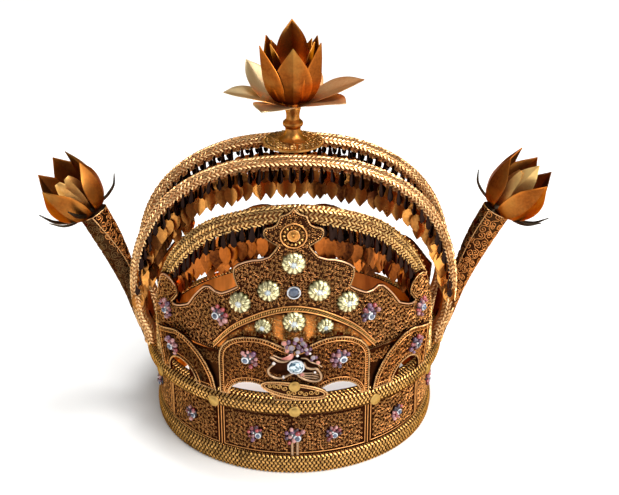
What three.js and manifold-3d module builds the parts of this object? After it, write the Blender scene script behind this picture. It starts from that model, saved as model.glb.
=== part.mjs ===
// A royal crown of gold filigree. Millimetres, +Z up, the wearer's front towards -Y and
// the origin in the middle of the circlet's flat foot. Angles (phi) are degrees round the
// crown from the front, positive to the right of somebody who looks at the front.
import * as THREE from "three";
import { mergeVertices } from "three/addons/utils/BufferGeometryUtils.js";
import Module from "manifold-3d";

const wasm = await Module();
wasm.setup();

// Driving dimensions
const GAP = 0.3; // clearance between pieces that touch
const HEAD_RADIUS = 89.5; // inside of the base roll, for a head of about 56 cm
const BASE_ROLL = { outer: 95.5, height: 13, round: 2 };
const WALL = { inner: 91, outer: 92.6 };
const RIM_ROLL = { outer: 101, bottom: 46.5, top: 57.5, round: 2 };
const RING_SIDES = 48; // facets round the circlet
const SHELL_SIDES = 60; // facets round the curved plates
const FOOT = RIM_ROLL.top + GAP; // height at which everything stands on the rim
const RIVET = { spacing: 30, leftOut: [90, 270], z: 50.5, radius: 3.8, rise: 1.6, sunk: 1.4 };
const RIVET_FACE = 0.55; // a rivet's flat top, as a share of its foot

const CREST = { radius: 98.2, thickness: 1.4, lean: 0.105 }; // lean: run outwards per mm of rise
const DIADEM = { inner: 97.9, outer: 99.3 };
const HOOP = { inner: 92.5, outer: 97.5, width: 11, bevel: 1.5, crown: 0.45, steps: 36 };
const ARCH = { offset: 21.7, width: 11, rise: 4.9, fall: 4.5, steps: 32 };
const LEAF = { pitch: 8, half: 3.3, waist: 10.5, drop: 17.5, rail: 1.4, stalk: 0.8, thickness: 0.9 };
const FRINGE_OFFSET = 4; // each row's distance from the middle plane of its arch
const PLATE = { radius: 19.5, thickness: 2.2 };
const PETAL_THICKNESS = 1;
const HUB_SIDES = 8; // facets round the hub of a whorl of petals
const BUD = { hubRadius: 7, hubHeight: 3, bend: 13 }; // bend: degrees that it tips over

const { degToRad, lerp, radToDeg } = THREE.MathUtils;

const FINISHES = {
  filigree: metal(0xb98436, 0.42),
  plait: metal(0xd0a04a, 0.36),
  leaf: metal(0xb8702a, 0.34),
  petal: metal(0xbd7a3c, 0.3),
  paleGold: metal(0xd8cc8c, 0.38),
  cluster: metal(0x8d4a52, 0.3),
};

function metal(color, roughness) {
  return new THREE.MeshStandardMaterial({ color, roughness, metalness: 1 });
}

// Solids and their joins

function outward(geometry) {
  const point = geometry.attributes.position;
  const index = geometry.index.array;
  const [a, b, c] = [new THREE.Vector3(), new THREE.Vector3(), new THREE.Vector3()];
  let volume = 0;
  for (let i = 0; i < index.length; i += 3) {
    a.fromBufferAttribute(point, index[i]);
    b.fromBufferAttribute(point, index[i + 1]);
    c.fromBufferAttribute(point, index[i + 2]);
    volume += a.dot(b.cross(c));
  }
  if (volume < 0) {
    for (let i = 0; i < index.length; i += 3) {
      [index[i], index[i + 1]] = [index[i + 1], index[i]];
    }
  }
  return geometry;
}

function welded(geometry) {
  const bare = geometry.clone();
  bare.deleteAttribute("normal");
  bare.deleteAttribute("uv");
  return outward(mergeVertices(bare, 1e-4));
}

function toSolid(geometry) {
  const bare = welded(geometry);
  return new wasm.Manifold(
    new wasm.Mesh({
      numProp: 3,
      vertProperties: new Float32Array(bare.attributes.position.array),
      triVerts: new Uint32Array(bare.index.array),
    }),
  );
}

function toGeometry(solid) {
  const result = solid.getMesh();
  const geometry = new THREE.BufferGeometry();
  geometry.setAttribute("position", new THREE.BufferAttribute(result.vertProperties, 3));
  geometry.setIndex(new THREE.BufferAttribute(result.triVerts, 1));
  return geometry;
}

function fused(geometries) {
  const [first, ...rest] = geometries.map(toSolid);
  return toGeometry(rest.reduce((whole, part) => whole.add(part), first));
}

// A skin over rings of equal length, closed by a fan at each end
function loft(rings) {
  const count = rings[0].length;
  const last = (rings.length - 1) * count;
  const faces = [];
  for (let row = 0; row < rings.length - 1; row += 1) {
    for (let side = 0; side < count; side += 1) {
      const a = row * count + side;
      const b = row * count + ((side + 1) % count);
      faces.push(a, b, b + count, a, b + count, a + count);
    }
  }
  for (let side = 1; side < count - 1; side += 1) {
    faces.push(0, side + 1, side, last, last + side, last + side + 1);
  }
  const geometry = new THREE.BufferGeometry();
  const positions = rings.flat().flatMap((point) => point.toArray());
  geometry.setAttribute("position", new THREE.Float32BufferAttribute(positions, 3));
  geometry.setIndex(faces);
  return outward(geometry);
}

// A profile of [radius, height] rows turned about the crown's axis
function turned(profile, sides) {
  const points = profile.map(([radius, z]) => new THREE.Vector2(radius, z));
  return welded(new THREE.LatheGeometry(points, sides).rotateX(Math.PI / 2));
}

function around(phi, radius, z) {
  const angle = degToRad(phi);
  return new THREE.Vector3(radius * Math.sin(angle), -radius * Math.cos(angle), z);
}

function across(phi, radius) {
  return radius * Math.sin(degToRad(phi));
}

// A thin round wall, straight in section and leaning by the given run per mm of rise
function roundWall({ radius, thickness, lean, bottom, top }) {
  const run = lean * (top - bottom);
  return turned(
    [
      [radius, bottom],
      [radius + thickness, bottom],
      [radius + thickness + run, top],
      [radius + run, top],
      [radius, bottom],
    ],
    SHELL_SIDES,
  );
}

// The part of a round wall that an outline, drawn on the front view, cuts out of it
function cutFromWall(wall, outline) {
  const reach = 2 * RIM_ROLL.outer;
  const cutter = new THREE.ExtrudeGeometry(outline, {
    depth: reach,
    bevelEnabled: false,
    curveSegments: 6,
  });
  return toSolid(roundWall(wall)).intersect(toSolid(cutter.rotateX(Math.PI / 2)));
}

const crown = new THREE.Group();

function place(parent, name, geometry, finish) {
  const mesh = new THREE.Mesh(geometry, finish);
  mesh.name = name;
  parent.add(mesh);
  return mesh;
}

// A group turned to phi, so that what it holds is drawn as if it were at the front
function turnedGroup(phi) {
  const group = new THREE.Group();
  group.rotation.z = degToRad(phi);
  crown.add(group);
  return group;
}

// A rivet at the front of the crown, its flat top towards the viewer
function rivetHead(length, sides) {
  return new THREE.CylinderGeometry(RIVET.radius, RIVET_FACE * RIVET.radius, length, sides);
}

// Circlet: base roll, wall and rim roll, soldered together, with the round rivets
function circlet() {
  const body = turned(
    [
      [HEAD_RADIUS, 0],
      [BASE_ROLL.outer - BASE_ROLL.round, 0],
      [BASE_ROLL.outer, BASE_ROLL.round],
      [BASE_ROLL.outer, BASE_ROLL.height - BASE_ROLL.round],
      [WALL.outer, BASE_ROLL.height],
      [WALL.outer, RIM_ROLL.bottom],
      [RIM_ROLL.outer - 2 * RIM_ROLL.round, RIM_ROLL.bottom],
      [RIM_ROLL.outer, RIM_ROLL.bottom + 2 * RIM_ROLL.round],
      [RIM_ROLL.outer, RIM_ROLL.top - RIM_ROLL.round],
      [RIM_ROLL.outer - RIM_ROLL.round / 2, RIM_ROLL.top],
      [WALL.inner, RIM_ROLL.top],
      [WALL.inner, BASE_ROLL.height],
      [HEAD_RADIUS, BASE_ROLL.height - BASE_ROLL.round],
      [HEAD_RADIUS, 0],
    ],
    RING_SIDES,
  );
  const rivets = [];
  for (let phi = 0; phi < 360; phi += RIVET.spacing) {
    if (!RIVET.leftOut.includes(phi)) {
      const length = RIVET.rise + RIVET.sunk;
      const rivet = rivetHead(length, 7);
      rivet.translate(0, -(RIM_ROLL.outer + (RIVET.rise - RIVET.sunk) / 2), RIVET.z);
      rivets.push(rivet.rotateZ(degToRad(phi)));
    }
  }
  return fused([body, ...rivets]);
}

place(crown, "circlet", circlet(), FINISHES.filigree);

// Crest: lotus-petal plates that stand on the rim and lean out, each with arched openings
// at its foot
const CREST_WALL = { ...CREST, bottom: FOOT, top: 115 };

function footWithArches(shape, left, right, arches) {
  shape.moveTo(left, FOOT);
  for (const { at, half, rise } of arches) {
    shape.lineTo(at - half, FOOT);
    shape.absellipse(at, FOOT, half, rise, Math.PI, 0, true, 0);
  }
  shape.lineTo(right, FOOT);
  return shape;
}

// Where the handles of the lobes' curves lie, as shares of the distances that they bridge,
// and how far the handles of a low end stand over it
const BOW = { flank: 0.55, spring: 0.7, side: 0.6, brow: 0.5, top: 0.3, lip: 1 };

function twinLobe({ half, shoulder, peakAt, peak, dip, arches }) {
  const shape = footWithArches(new THREE.Shape(), -half, half, arches);
  const swell = lerp(shoulder, peak, BOW.side);
  const brow = lerp(peakAt, half, BOW.side);
  const inner = BOW.flank * peakAt;
  const valley = BOW.top * peakAt;
  shape.lineTo(half, shoulder);
  shape.bezierCurveTo(half, swell, brow, peak, peakAt, peak);
  shape.bezierCurveTo(inner, peak, valley, dip + BOW.lip, 0, dip);
  shape.bezierCurveTo(-valley, dip + BOW.lip, -inner, peak, -peakAt, peak);
  shape.bezierCurveTo(-brow, peak, -half, swell, -half, shoulder);
  shape.lineTo(-half, FOOT);
  return shape;
}

// A lobe with one round free side and one straight side against a leg of an arch;
// side is 1 where the straight side is on the right
function sideLobe({ half, peakAt, peak, end, arches, side }) {
  const shape = footWithArches(new THREE.Shape(), -half, half, arches);
  const flank = lerp(FOOT, peak, BOW.flank);
  const lip = end + BOW.lip;
  if (side > 0) {
    shape.lineTo(half, end);
    shape.bezierCurveTo(BOW.side * half, lip, peakAt + BOW.top * half, peak, peakAt, peak);
    shape.bezierCurveTo(peakAt - BOW.brow * half, peak, -half, flank, -half, FOOT);
  } else {
    shape.bezierCurveTo(half, flank, peakAt + BOW.brow * half, peak, peakAt, peak);
    shape.bezierCurveTo(peakAt - BOW.top * half, peak, -BOW.side * half, lip, -half, end);
    shape.lineTo(-half, FOOT);
  }
  return shape;
}

function roundLobe({ half, peak, arches }) {
  const shape = footWithArches(new THREE.Shape(), -half, half, arches);
  const flank = lerp(FOOT, peak, BOW.spring);
  shape.bezierCurveTo(half, flank, BOW.side * half, peak, 0, peak);
  shape.bezierCurveTo(-BOW.side * half, peak, -half, flank, -half, FOOT);
  return shape;
}

const TWIN = { half: 46, shoulder: 84, peakAt: 24, peak: 103.4, dip: 95 };
const TWIN_ARCHES = [-26.5, 26.5].map((at) => ({ at, half: 14, rise: 12 }));
const SIDE = { half: 24.6, peak: 93, end: 88 };
const REAR_SIDE = { half: 36, peak: 94, end: 86 };

const CREST_ROWS = [
  { name: "crest_front", phi: 0, outline: twinLobe({ ...TWIN, arches: TWIN_ARCHES }) },
  { name: "crest_rear", phi: 180, outline: twinLobe({ ...TWIN, arches: TWIN_ARCHES }) },
];
for (const side of [1, -1]) {
  const word = side > 0 ? "right" : "left";
  const opening = (at, half, rise) => ({ at: side * at, half, rise });
  CREST_ROWS.push(
    {
      name: `crest_front_${word}`,
      phi: side * 43.5,
      outline: sideLobe({ ...SIDE, side, peakAt: side * 2, arches: [opening(3, 13, 14)] }),
    },
    {
      name: `crest_side_${word}`,
      phi: side * 90,
      outline: roundLobe({ half: 14.5, peak: 90, arches: [opening(0, 7, 10)] }),
    },
    {
      name: `crest_rear_${word}`,
      phi: side * 129.3,
      outline: sideLobe({ ...REAR_SIDE, side: -side, peakAt: side * -2, arches: [opening(4, 14, 12)] }),
    },
  );
}
for (const { name, phi, outline } of CREST_ROWS) {
  place(turnedGroup(phi), name, toGeometry(cutFromWall(CREST_WALL, outline)), FINISHES.filigree);
}

// Front hoop: a plaited band on the round wall of the front, standing on the rim
const HOOP_PATH = [
  { phi: 0, z: 180 },
  { phi: 12.5, z: 177.2 },
  { phi: 24.7, z: 170 },
  { phi: 34.8, z: 160 },
  { phi: 46.3, z: 142 },
  { phi: 55, z: 124 },
  { phi: 61.5, z: 105 },
  { phi: 65.7, z: 84 },
  { phi: 66.6, z: 70 },
  { phi: 66.6, z: FOOT },
];
const HOOP_RADIUS = (HOOP.inner + HOOP.outer) / 2;

// A curve through one half of a path and its mirror image, in a flat drawing
function mirroredCurve(half) {
  const left = half.slice(1).map(([x, z]) => new THREE.Vector2(-x, z));
  const right = half.map(([x, z]) => new THREE.Vector2(x, z));
  return new THREE.SplineCurve([...left.reverse(), ...right]);
}

// Stations along a flat curve, with the unit normal that points to the outer side; the two
// ends are held upright so that they stand flat on the rim
function stations(curve, steps) {
  return curve.getSpacedPoints(steps).map((point, i) => {
    const ends = i === 0 || i === steps;
    const tangent = curve.getTangentAt(i / steps);
    const upright = new THREE.Vector2(Math.sign(point.x), 0);
    return { point, normal: ends ? upright : new THREE.Vector2(-tangent.y, tangent.x) };
  });
}

const hoopCurve = mirroredCurve(
  HOOP_PATH.map(({ phi, z }) => [HOOP_RADIUS * degToRad(phi), z]),
);

function unrolledToHoop(x, z, radius) {
  return around(radToDeg(x / HOOP_RADIUS), radius, z);
}

function frontHoop() {
  const half = HOOP.width / 2;
  const section = [
    { side: -half, radius: HOOP.inner },
    { side: half, radius: HOOP.inner },
    { side: half, radius: HOOP.outer - HOOP.bevel },
    { side: HOOP.crown * half, radius: HOOP.outer },
    { side: -HOOP.crown * half, radius: HOOP.outer },
    { side: -half, radius: HOOP.outer - HOOP.bevel },
  ];
  return loft(
    stations(hoopCurve, HOOP.steps).map(({ point, normal }) =>
      section.map(({ side, radius }) =>
        unrolledToHoop(point.x + side * normal.x, point.y + side * normal.y, radius),
      ),
    ),
  );
}

place(crown, "front_hoop", frontHoop(), FINISHES.plait);

// High arches: two plaited arches side by side, from the left of the rim to its right
const ARCH_PATH = [
  { x: 0, z: 183.4 },
  { x: 22, z: 182.2 },
  { x: 42, z: 178.4 },
  { x: 63, z: 169.4 },
  { x: 80, z: 156.4 },
  { x: 92, z: 140 },
  { x: 99.5, z: 120 },
  { x: 102.3, z: 99 },
  { x: 100.5, z: 78 },
  { x: 96, z: 66 },
  { x: 95, z: FOOT },
];
const archCurve = mirroredCurve(ARCH_PATH.map(({ x, z }) => [x, z]));

function highArch(offset) {
  const half = ARCH.width / 2;
  const section = [
    { up: -ARCH.fall, y: -0.75 * half },
    { up: -ARCH.fall, y: 0.75 * half },
    { up: -0.2 * ARCH.fall, y: half },
    { up: 0.6 * ARCH.rise, y: 0.85 * half },
    { up: ARCH.rise, y: 0.35 * half },
    { up: ARCH.rise, y: -0.35 * half },
    { up: 0.6 * ARCH.rise, y: -0.85 * half },
    { up: -0.2 * ARCH.fall, y: -half },
  ];
  return loft(
    stations(archCurve, ARCH.steps).map(({ point, normal }) =>
      section.map(
        ({ up, y }) => new THREE.Vector3(point.x + up * normal.x, offset + y, point.y + up * normal.y),
      ),
    ),
  );
}

place(crown, "high_arch_front", highArch(-ARCH.offset), FINISHES.plait);
place(crown, "high_arch_rear", highArch(ARCH.offset), FINISHES.plait);

// Leaf fringes: small leaves that hang straight down from a wire under a band

// The height of a band's lower edge over a place x on its drawing
function lowerEdge(curve, below, steps) {
  const edge = stations(curve, steps).map(({ point, normal }) => [
    point.x - below * normal.x,
    point.y - below * normal.y,
  ]);
  return (x) => {
    const next = Math.max(1, edge.findIndex(([along]) => along > x));
    const [[x0, z0], [x1, z1]] = [edge[next - 1], edge[next]];
    return z0 + ((z1 - z0) * (x - x0)) / (x1 - x0);
  };
}

// The outline of one row of leaves on their wire; reach is how far it goes each way
function leafRow(edgeAt, reach) {
  const count = 2 * Math.round(reach / LEAF.pitch) + 1;
  const first = (-LEAF.pitch * (count - 1)) / 2;
  const top = [];
  const bottom = [];
  for (let i = 0; i < count; i += 1) {
    const x = first + i * LEAF.pitch;
    const z = edgeAt(x);
    top.push([x, z]);
    bottom.push(
      [x - LEAF.stalk, z - LEAF.rail],
      [x - LEAF.half, z - LEAF.waist],
      [x, z - LEAF.drop],
      [x + LEAF.half, z - LEAF.waist],
      [x + LEAF.stalk, z - LEAF.rail],
    );
  }
  return [...bottom, ...top.reverse()];
}

const HOOP_FRINGE_REACH = 66;
const ARCH_FRINGE_REACH = 76;
const hoopEdge = lowerEdge(hoopCurve, HOOP.width / 2 + 2 * GAP, HOOP.steps);
const archEdge = lowerEdge(archCurve, ARCH.fall + 2 * GAP, ARCH.steps);
const hoopLeaves = leafRow(hoopEdge, HOOP_FRINGE_REACH);
const archLeaves = leafRow(archEdge, ARCH_FRINGE_REACH);

function outlineShape(points) {
  return new THREE.Shape(points.map(([x, z]) => new THREE.Vector2(x, z)));
}

// The upright front wall that the hoop's leaves and the diadem are cut from
const FRONT_WALL = { lean: 0, bottom: 80, top: 190 };
const hoopFringeWall = {
  ...FRONT_WALL,
  radius: HOOP_RADIUS - LEAF.thickness,
  thickness: LEAF.thickness,
};
const hoopFringe = cutFromWall(
  hoopFringeWall,
  outlineShape(hoopLeaves.map(([x, z]) => [HOOP_RADIUS * Math.sin(x / HOOP_RADIUS), z])),
);
place(crown, "fringe_hoop", toGeometry(hoopFringe), FINISHES.leaf);

// The flat strip under a high arch that carries both of its rows of leaves
function leafStrip(offset) {
  const above = ARCH.fall + GAP;
  const section = [
    { up: -above, y: -FRINGE_OFFSET },
    { up: -above, y: FRINGE_OFFSET },
    { up: -above - LEAF.rail, y: FRINGE_OFFSET },
    { up: -above - LEAF.rail, y: -FRINGE_OFFSET },
  ];
  const all = stations(archCurve, ARCH.steps);
  const along = all.filter(({ point }) => Math.abs(point.x) < ARCH_FRINGE_REACH);
  return loft(
    along.map(({ point, normal }) =>
      section.map(
        ({ up, y }) => new THREE.Vector3(point.x + up * normal.x, offset + y, point.y + up * normal.y),
      ),
    ),
  );
}

function archFringe(offset) {
  const rows = [-FRINGE_OFFSET, FRINGE_OFFSET].map((shift) => {
    const leaves = new THREE.ExtrudeGeometry(outlineShape(archLeaves), {
      depth: LEAF.thickness,
      bevelEnabled: false,
    });
    return leaves.rotateX(Math.PI / 2).translate(0, offset + shift + LEAF.thickness / 2, 0);
  });
  return fused([leafStrip(offset), ...rows]);
}

place(crown, "fringe_front", archFringe(-ARCH.offset), FINISHES.leaf);
place(crown, "fringe_rear", archFringe(ARCH.offset), FINISHES.leaf);

// Diadem: the cusped front plate, from its middle to its right end as stretches of [phi, z]
// between one cusp and the next
const DIADEM_STRETCHES = [
  { name: "medallion point", through: [[0, 186], [1.6, 182.5], [4.5, 180.5]] },
  { name: "medallion lobe", through: [[4.5, 180.5], [6, 174.5], [9.8, 172], [9.6, 166], [5.4, 161.6]] },
  {
    name: "shoulder",
    through: [[5.4, 161.6], [8.8, 154], [15, 151.3], [20.3, 146.3], [21, 140], [19.6, 133]],
  },
  { name: "wing", through: [[19.6, 133], [26.4, 126.6], [31.4, 129.8], [36.4, 122], [40.3, 113]] },
  { name: "dip", through: [[40.3, 113], [46, 108.4], [49.5, 108.6]] },
  { name: "scroll", through: [[49.5, 108.6], [46, 115.5], [47.5, 122.5], [53, 125.5], [58, 120.5]] },
];
const DIADEM_FOOT = [
  { phi: 60.6, z: 106 },
  { phi: 62.5, z: 85 },
  { phi: 44, z: 88 },
  { phi: 29, z: 86.5 },
  { phi: 0, z: 88 },
];

function diadem() {
  const right = [];
  for (const { through } of DIADEM_STRETCHES) {
    const curve = new THREE.SplineCurve(
      through.map(([phi, z]) => new THREE.Vector2(across(phi, DIADEM.outer), z)),
    );
    right.push(...curve.getPoints(through.length * 2 - 1).slice(0, -1));
  }
  right.push(...DIADEM_FOOT.map(({ phi, z }) => new THREE.Vector2(across(phi, DIADEM.outer), z)));
  const left = right.slice(1, -1).map(({ x, y }) => new THREE.Vector2(-x, y));
  const wall = { ...FRONT_WALL, radius: DIADEM.inner, thickness: DIADEM.outer - DIADEM.inner };
  return toGeometry(cutFromWall(wall, new THREE.Shape([...right, ...left.reverse()])));
}

place(crown, "diadem", diadem(), FINISHES.filigree);

// Rosettes: flower heads drawn flat, with rings of 2 points for each petal; the last two
// rings are the girdle and the table of the stone
const GOLD_HEAD = { petals: 8, notch: 0.76, rise: 1.4, stone: 0.36, table: 0.22, height: 3.6 };
const GEM_HEAD = { petals: 6, notch: 0.8, rise: 1.9, stone: 0.5, table: 0.3, height: 4.4 };
const HEAD_TAPER = 0.94; // petal tips against their feet
const HEAD_GIRDLE = 0.7; // height of the stone's girdle in its head

function rosette(radius, head) {
  const ring = (size, notch, z) =>
    Array.from({ length: 2 * head.petals }, (_, i) => {
      const angle = (Math.PI * i) / head.petals;
      const reach = radius * size * (i % 2 ? notch : 1);
      return new THREE.Vector3(reach * Math.cos(angle), reach * Math.sin(angle), z);
    });
  return loft([
    ring(1, head.notch, 0),
    ring(HEAD_TAPER, head.notch, head.rise),
    ring(head.stone, 1, HEAD_GIRDLE * head.height),
    ring(head.table, 1, head.height),
  ]);
}

// Sets a piece that was drawn flat on a wall of the given radius and lean
function setOnWall(name, geometry, finish, { phi, z, radius, lean }) {
  const mesh = place(turnedGroup(phi), name, geometry, finish);
  mesh.position.set(0, -(radius + GAP), z);
  mesh.rotation.x = Math.PI / 2 + Math.atan(lean);
}

function crestFace(z) {
  return CREST.radius + CREST.thickness + CREST.lean * (z - FOOT);
}

const ON_DIADEM = { radius: DIADEM.outer, lean: 0 };
const ON_CIRCLET = { radius: WALL.outer, lean: 0 };
const onCrest = (z) => ({ radius: crestFace(z), lean: CREST.lean });

const GOLD_ROSETTES = [
  { phi: 0, z: 151, radius: 6.6 },
  { phi: -8.5, z: 132.7, radius: 6.4 },
  { phi: 8.5, z: 132.7, radius: 6.4 },
  { phi: -18.7, z: 123, radius: 6.4 },
  { phi: 18.7, z: 123, radius: 6.4 },
  { phi: 0, z: 112.4, radius: 6.6 },
  { phi: -10.7, z: 108.6, radius: 4.8 },
  { phi: 10.7, z: 108.6, radius: 4.8 },
];
GOLD_ROSETTES.forEach(({ phi, z, radius }, i) => {
  const name = `gold_rosette_${i + 1}`;
  setOnWall(name, rosette(radius, GOLD_HEAD), FINISHES.paleGold, { phi, z, ...ON_DIADEM });
});

const COLLET = { z: 133, radius: 4.2 };
const COLLET_HEAD = { ...GEM_HEAD, notch: 1, stone: 0.8, table: 0.5 };
setOnWall("collet_stone", rosette(COLLET.radius, COLLET_HEAD), FINISHES.paleGold, {
  phi: 0,
  z: COLLET.z,
  ...ON_DIADEM,
});

const GEM_ROSETTES = [
  { name: "diadem_end", phi: 52.7, z: 102, radius: 6.8, seat: ON_DIADEM },
  { name: "diadem_wing", phi: 26.9, z: 112.4, radius: 6.8, seat: ON_DIADEM },
  { name: "crest_front", phi: 15.5, z: 88, radius: 6.8, seat: onCrest(88) },
  { name: "crest_side", phi: 48, z: 80, radius: 6.6, seat: onCrest(80) },
];
for (const { name, phi, z, radius, seat } of GEM_ROSETTES) {
  for (const [word, side] of [["left", -1], ["right", 1]]) {
    const spot = { phi: side * phi, z, ...seat };
    setOnWall(`gem_rosette_${name}_${word}`, rosette(radius, GEM_HEAD), FINISHES.cluster, spot);
  }
}

const CIRCLET_ROSETTES = { first: 15, spacing: 30, count: 12, z: 28, radius: 5.8, front: 7 };

function setOnCirclet(name, phi, radius) {
  const spot = { phi, z: CIRCLET_ROSETTES.z, ...ON_CIRCLET };
  setOnWall(`gem_rosette_circlet_${name}`, rosette(radius, GEM_HEAD), FINISHES.cluster, spot);
}

for (let i = 0; i < CIRCLET_ROSETTES.count; i += 1) {
  const phi = CIRCLET_ROSETTES.first + i * CIRCLET_ROSETTES.spacing;
  setOnCirclet(i + 1, phi, CIRCLET_ROSETTES.radius);
}
setOnCirclet("front", 0, CIRCLET_ROSETTES.front);

// Navette: a boat-shaped plate on the foot of the front crest, with a round rivet
const NAVETTE = { half: 21, rise: 6, z: 66, slope: -11, thickness: 1.3 };
const NAVETTE_RIVET = { z: 70, length: 2.6, shift: 0.4 };

function navette() {
  const shape = new THREE.Shape();
  const { half, rise, z, slope } = NAVETTE;
  shape.absellipse(0, z, half, rise, 0, 2 * Math.PI, false, degToRad(slope));
  const wall = {
    ...CREST_WALL,
    radius: CREST.radius + CREST.thickness + GAP,
    thickness: NAVETTE.thickness,
  };
  const face = crestFace(NAVETTE_RIVET.z) + GAP + NAVETTE.thickness;
  const rivet = rivetHead(NAVETTE_RIVET.length, 8);
  rivet.translate(0, -face - NAVETTE_RIVET.shift, NAVETTE_RIVET.z);
  return toGeometry(cutFromWall(wall, shape).add(toSolid(rivet)));
}

place(crown, "navette", navette(), FINISHES.filigree);

// Spray: a jewelled stem with the large stone, wired on in front of the crest; rows of
// small stones are [across, up] from the large one
const SPRAY = { phi: 0.5, z: 86, wing: 0.8 };
const SPRAY_STONE = { radius: 4.5, height: 4.6, small: 3 };
const SPRAY_PLATE = { radius: 5.6, thickness: 1.2 };
const SPRAY_STEM = { top: 1.6, foot: 3.2, length: 20, middle: 9, flat: 0.35 };
const CUT = { girdle: 0.5, table: 0.58, sides: 8 }; // a cut stone, as shares of its size
const SPRAY_STONES = [
  { across: -2.6, up: 7.6, radius: 2.6 },
  { across: 2.6, up: 8.4, radius: 2.6 },
  { across: -0.4, up: 13, radius: 2.6 },
  { across: 0.6, up: 18, radius: 2.2 },
];
const SPRAY_WINGS = [
  [[0, -2], [-7, -3], [-12, 2], [-15, 7]],
  [[0, -2], [6, -6], [12, -10], [16, -14]],
];

function cutStone(radius, height) {
  const girdle = [radius, CUT.girdle * height];
  const table = [CUT.table * radius, height];
  return turned([[0, 0], [radius, 0], girdle, table, [0, height]], CUT.sides);
}

function wire(points, radius) {
  const middle = points.map(([x, y]) => new THREE.Vector3(x, y, radius));
  const curve = new THREE.CatmullRomCurve3(middle);
  const section = new THREE.Shape();
  section.absarc(0, 0, radius, 0, 2 * Math.PI, false);
  const options = { steps: 5, extrudePath: curve, curveSegments: 3, bevelEnabled: false };
  return new THREE.ExtrudeGeometry(section, options);
}

function spray() {
  const { radius, thickness } = SPRAY_PLATE;
  const { top, foot, length, middle, flat } = SPRAY_STEM;
  const backing = new THREE.CylinderGeometry(radius, radius, thickness, 12).rotateX(Math.PI / 2);
  const stem = new THREE.CylinderGeometry(top, foot, length, 8).scale(1, 1, flat);
  const stones = SPRAY_STONES.map((row) =>
    cutStone(row.radius, SPRAY_STONE.small).translate(row.across, row.up, 0),
  );
  return fused([
    backing.translate(0, 0, thickness / 2),
    stem.translate(0, middle, flat * foot),
    cutStone(SPRAY_STONE.radius, SPRAY_STONE.height),
    ...stones,
    ...SPRAY_WINGS.map((wing) => wire(wing, SPRAY.wing)),
  ]);
}

const SPRAY_SPOT = { phi: SPRAY.phi, z: SPRAY.z, ...onCrest(SPRAY.z) };
setOnWall("spray", spray(), FINISHES.cluster, SPRAY_SPOT);

// Finial: a round plate across the two arches, a turned stem and a lotus of sheet petals
const PLATE_BOTTOM = ARCH_PATH[0].z + ARCH.rise + GAP;
const PLATE_TOP = PLATE_BOTTOM + PLATE.thickness;
const STEM_BOTTOM = PLATE_TOP + GAP;

// Rows of radius and height over the piece's own foot
const PLATE_PROFILE = [
  { r: 0, up: 0 },
  { r: PLATE.radius - 1, up: 0 },
  { r: PLATE.radius, up: 0.8 },
  { r: PLATE.radius - 0.6, up: PLATE.thickness },
  { r: 0, up: PLATE.thickness },
];
const STEM_PROFILE = [
  { r: 0, up: 0 },
  { r: 11, up: 0 },
  { r: 9.6, up: 2.2 },
  { r: 5.6, up: 5 },
  { r: 4.6, up: 8 },
  { r: 6.4, up: 10 },
  { r: 6.4, up: 12 },
  { r: 4.4, up: 14 },
  { r: 5, up: 17.9 },
  { r: 8.4, up: 20.9 },
  { r: 0, up: 20.9 },
];

function turnedFrom(bottom, profile, sides) {
  return turned(profile.map(({ r, up }) => [r, bottom + up]), sides);
}

const STEM_TOP = STEM_BOTTOM + STEM_PROFILE.at(-1).up;
place(crown, "finial_plate", turnedFrom(PLATE_BOTTOM, PLATE_PROFILE, 28), FINISHES.filigree);
place(crown, "finial_stem", turnedFrom(STEM_BOTTOM, STEM_PROFILE, 12), FINISHES.petal);

// One sheet petal that grows from the axis towards +X, folded along its middle; a row
// gives the middle line's distance from the axis, its height, the petal's half width and
// how far its edges rise from the middle line towards its inner side
function petal(rows) {
  const middle = rows.map(({ r, z }) => new THREE.Vector2(r, z));
  const rings = rows.map(({ half, fold }, i) => {
    const before = middle[Math.max(i - 1, 0)];
    const after = middle[Math.min(i + 1, rows.length - 1)];
    const tangent = after.clone().sub(before).normalize();
    const inner = new THREE.Vector2(-tangent.y, tangent.x);
    const point = (side, rise) =>
      new THREE.Vector3(middle[i].x + rise * inner.x, side, middle[i].y + rise * inner.y);
    const skin = PETAL_THICKNESS / 2;
    return [
      point(0, -skin),
      point(half, fold - skin),
      point(half, fold + skin),
      point(0, skin),
      point(-half, fold + skin),
      point(-half, fold - skin),
    ];
  });
  return loft(rings);
}

// A whorl of petals on a small round hub, which is a profile of [radius, height]
function whorl(tiers, hub) {
  const parts = [turned(hub, HUB_SIDES)];
  for (const { rows, angles } of tiers) {
    for (const angle of angles) {
      parts.push(petal(rows).rotateZ(degToRad(angle)));
    }
  }
  return fused(parts);
}

function disc(radius, bottom, top) {
  return [[0, bottom], [radius, bottom], [radius, top], [0, top]];
}

function allRound(count, first) {
  return Array.from({ length: count }, (_, i) => first + (360 * i) / count);
}

// The spread leaves under the flower are alike but for their reach, the height of their tip
// and how late they bend up; a section gives its share of the way, half width and fold
const LEAF_SECTIONS = [
  { share: 0, half: 2.6, fold: 0.5 },
  { share: 0.27, half: 9.5, fold: 1.4 },
  { share: 0.58, half: 12, fold: 2.2 },
  { share: 0.82, half: 8.5, fold: 1.6 },
  { share: 1, half: 0.5, fold: 0 },
];
const LEAF_ROOT = { r: 5, z: 213.6 };
const LOTUS_LEAVES = [
  { angle: 182, reach: 43.5, tip: 223, bend: 0.6 },
  { angle: 6, reach: 45.5, tip: 229, bend: 0.8 },
  { angle: -30, reach: 38, tip: 221, bend: 0.6 },
  { angle: 238, reach: 36, tip: 219.5, bend: 0.6 },
  { angle: 146, reach: 36, tip: 238, bend: 1.8 },
  { angle: 72, reach: 36, tip: 234, bend: 1.8 },
];

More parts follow.
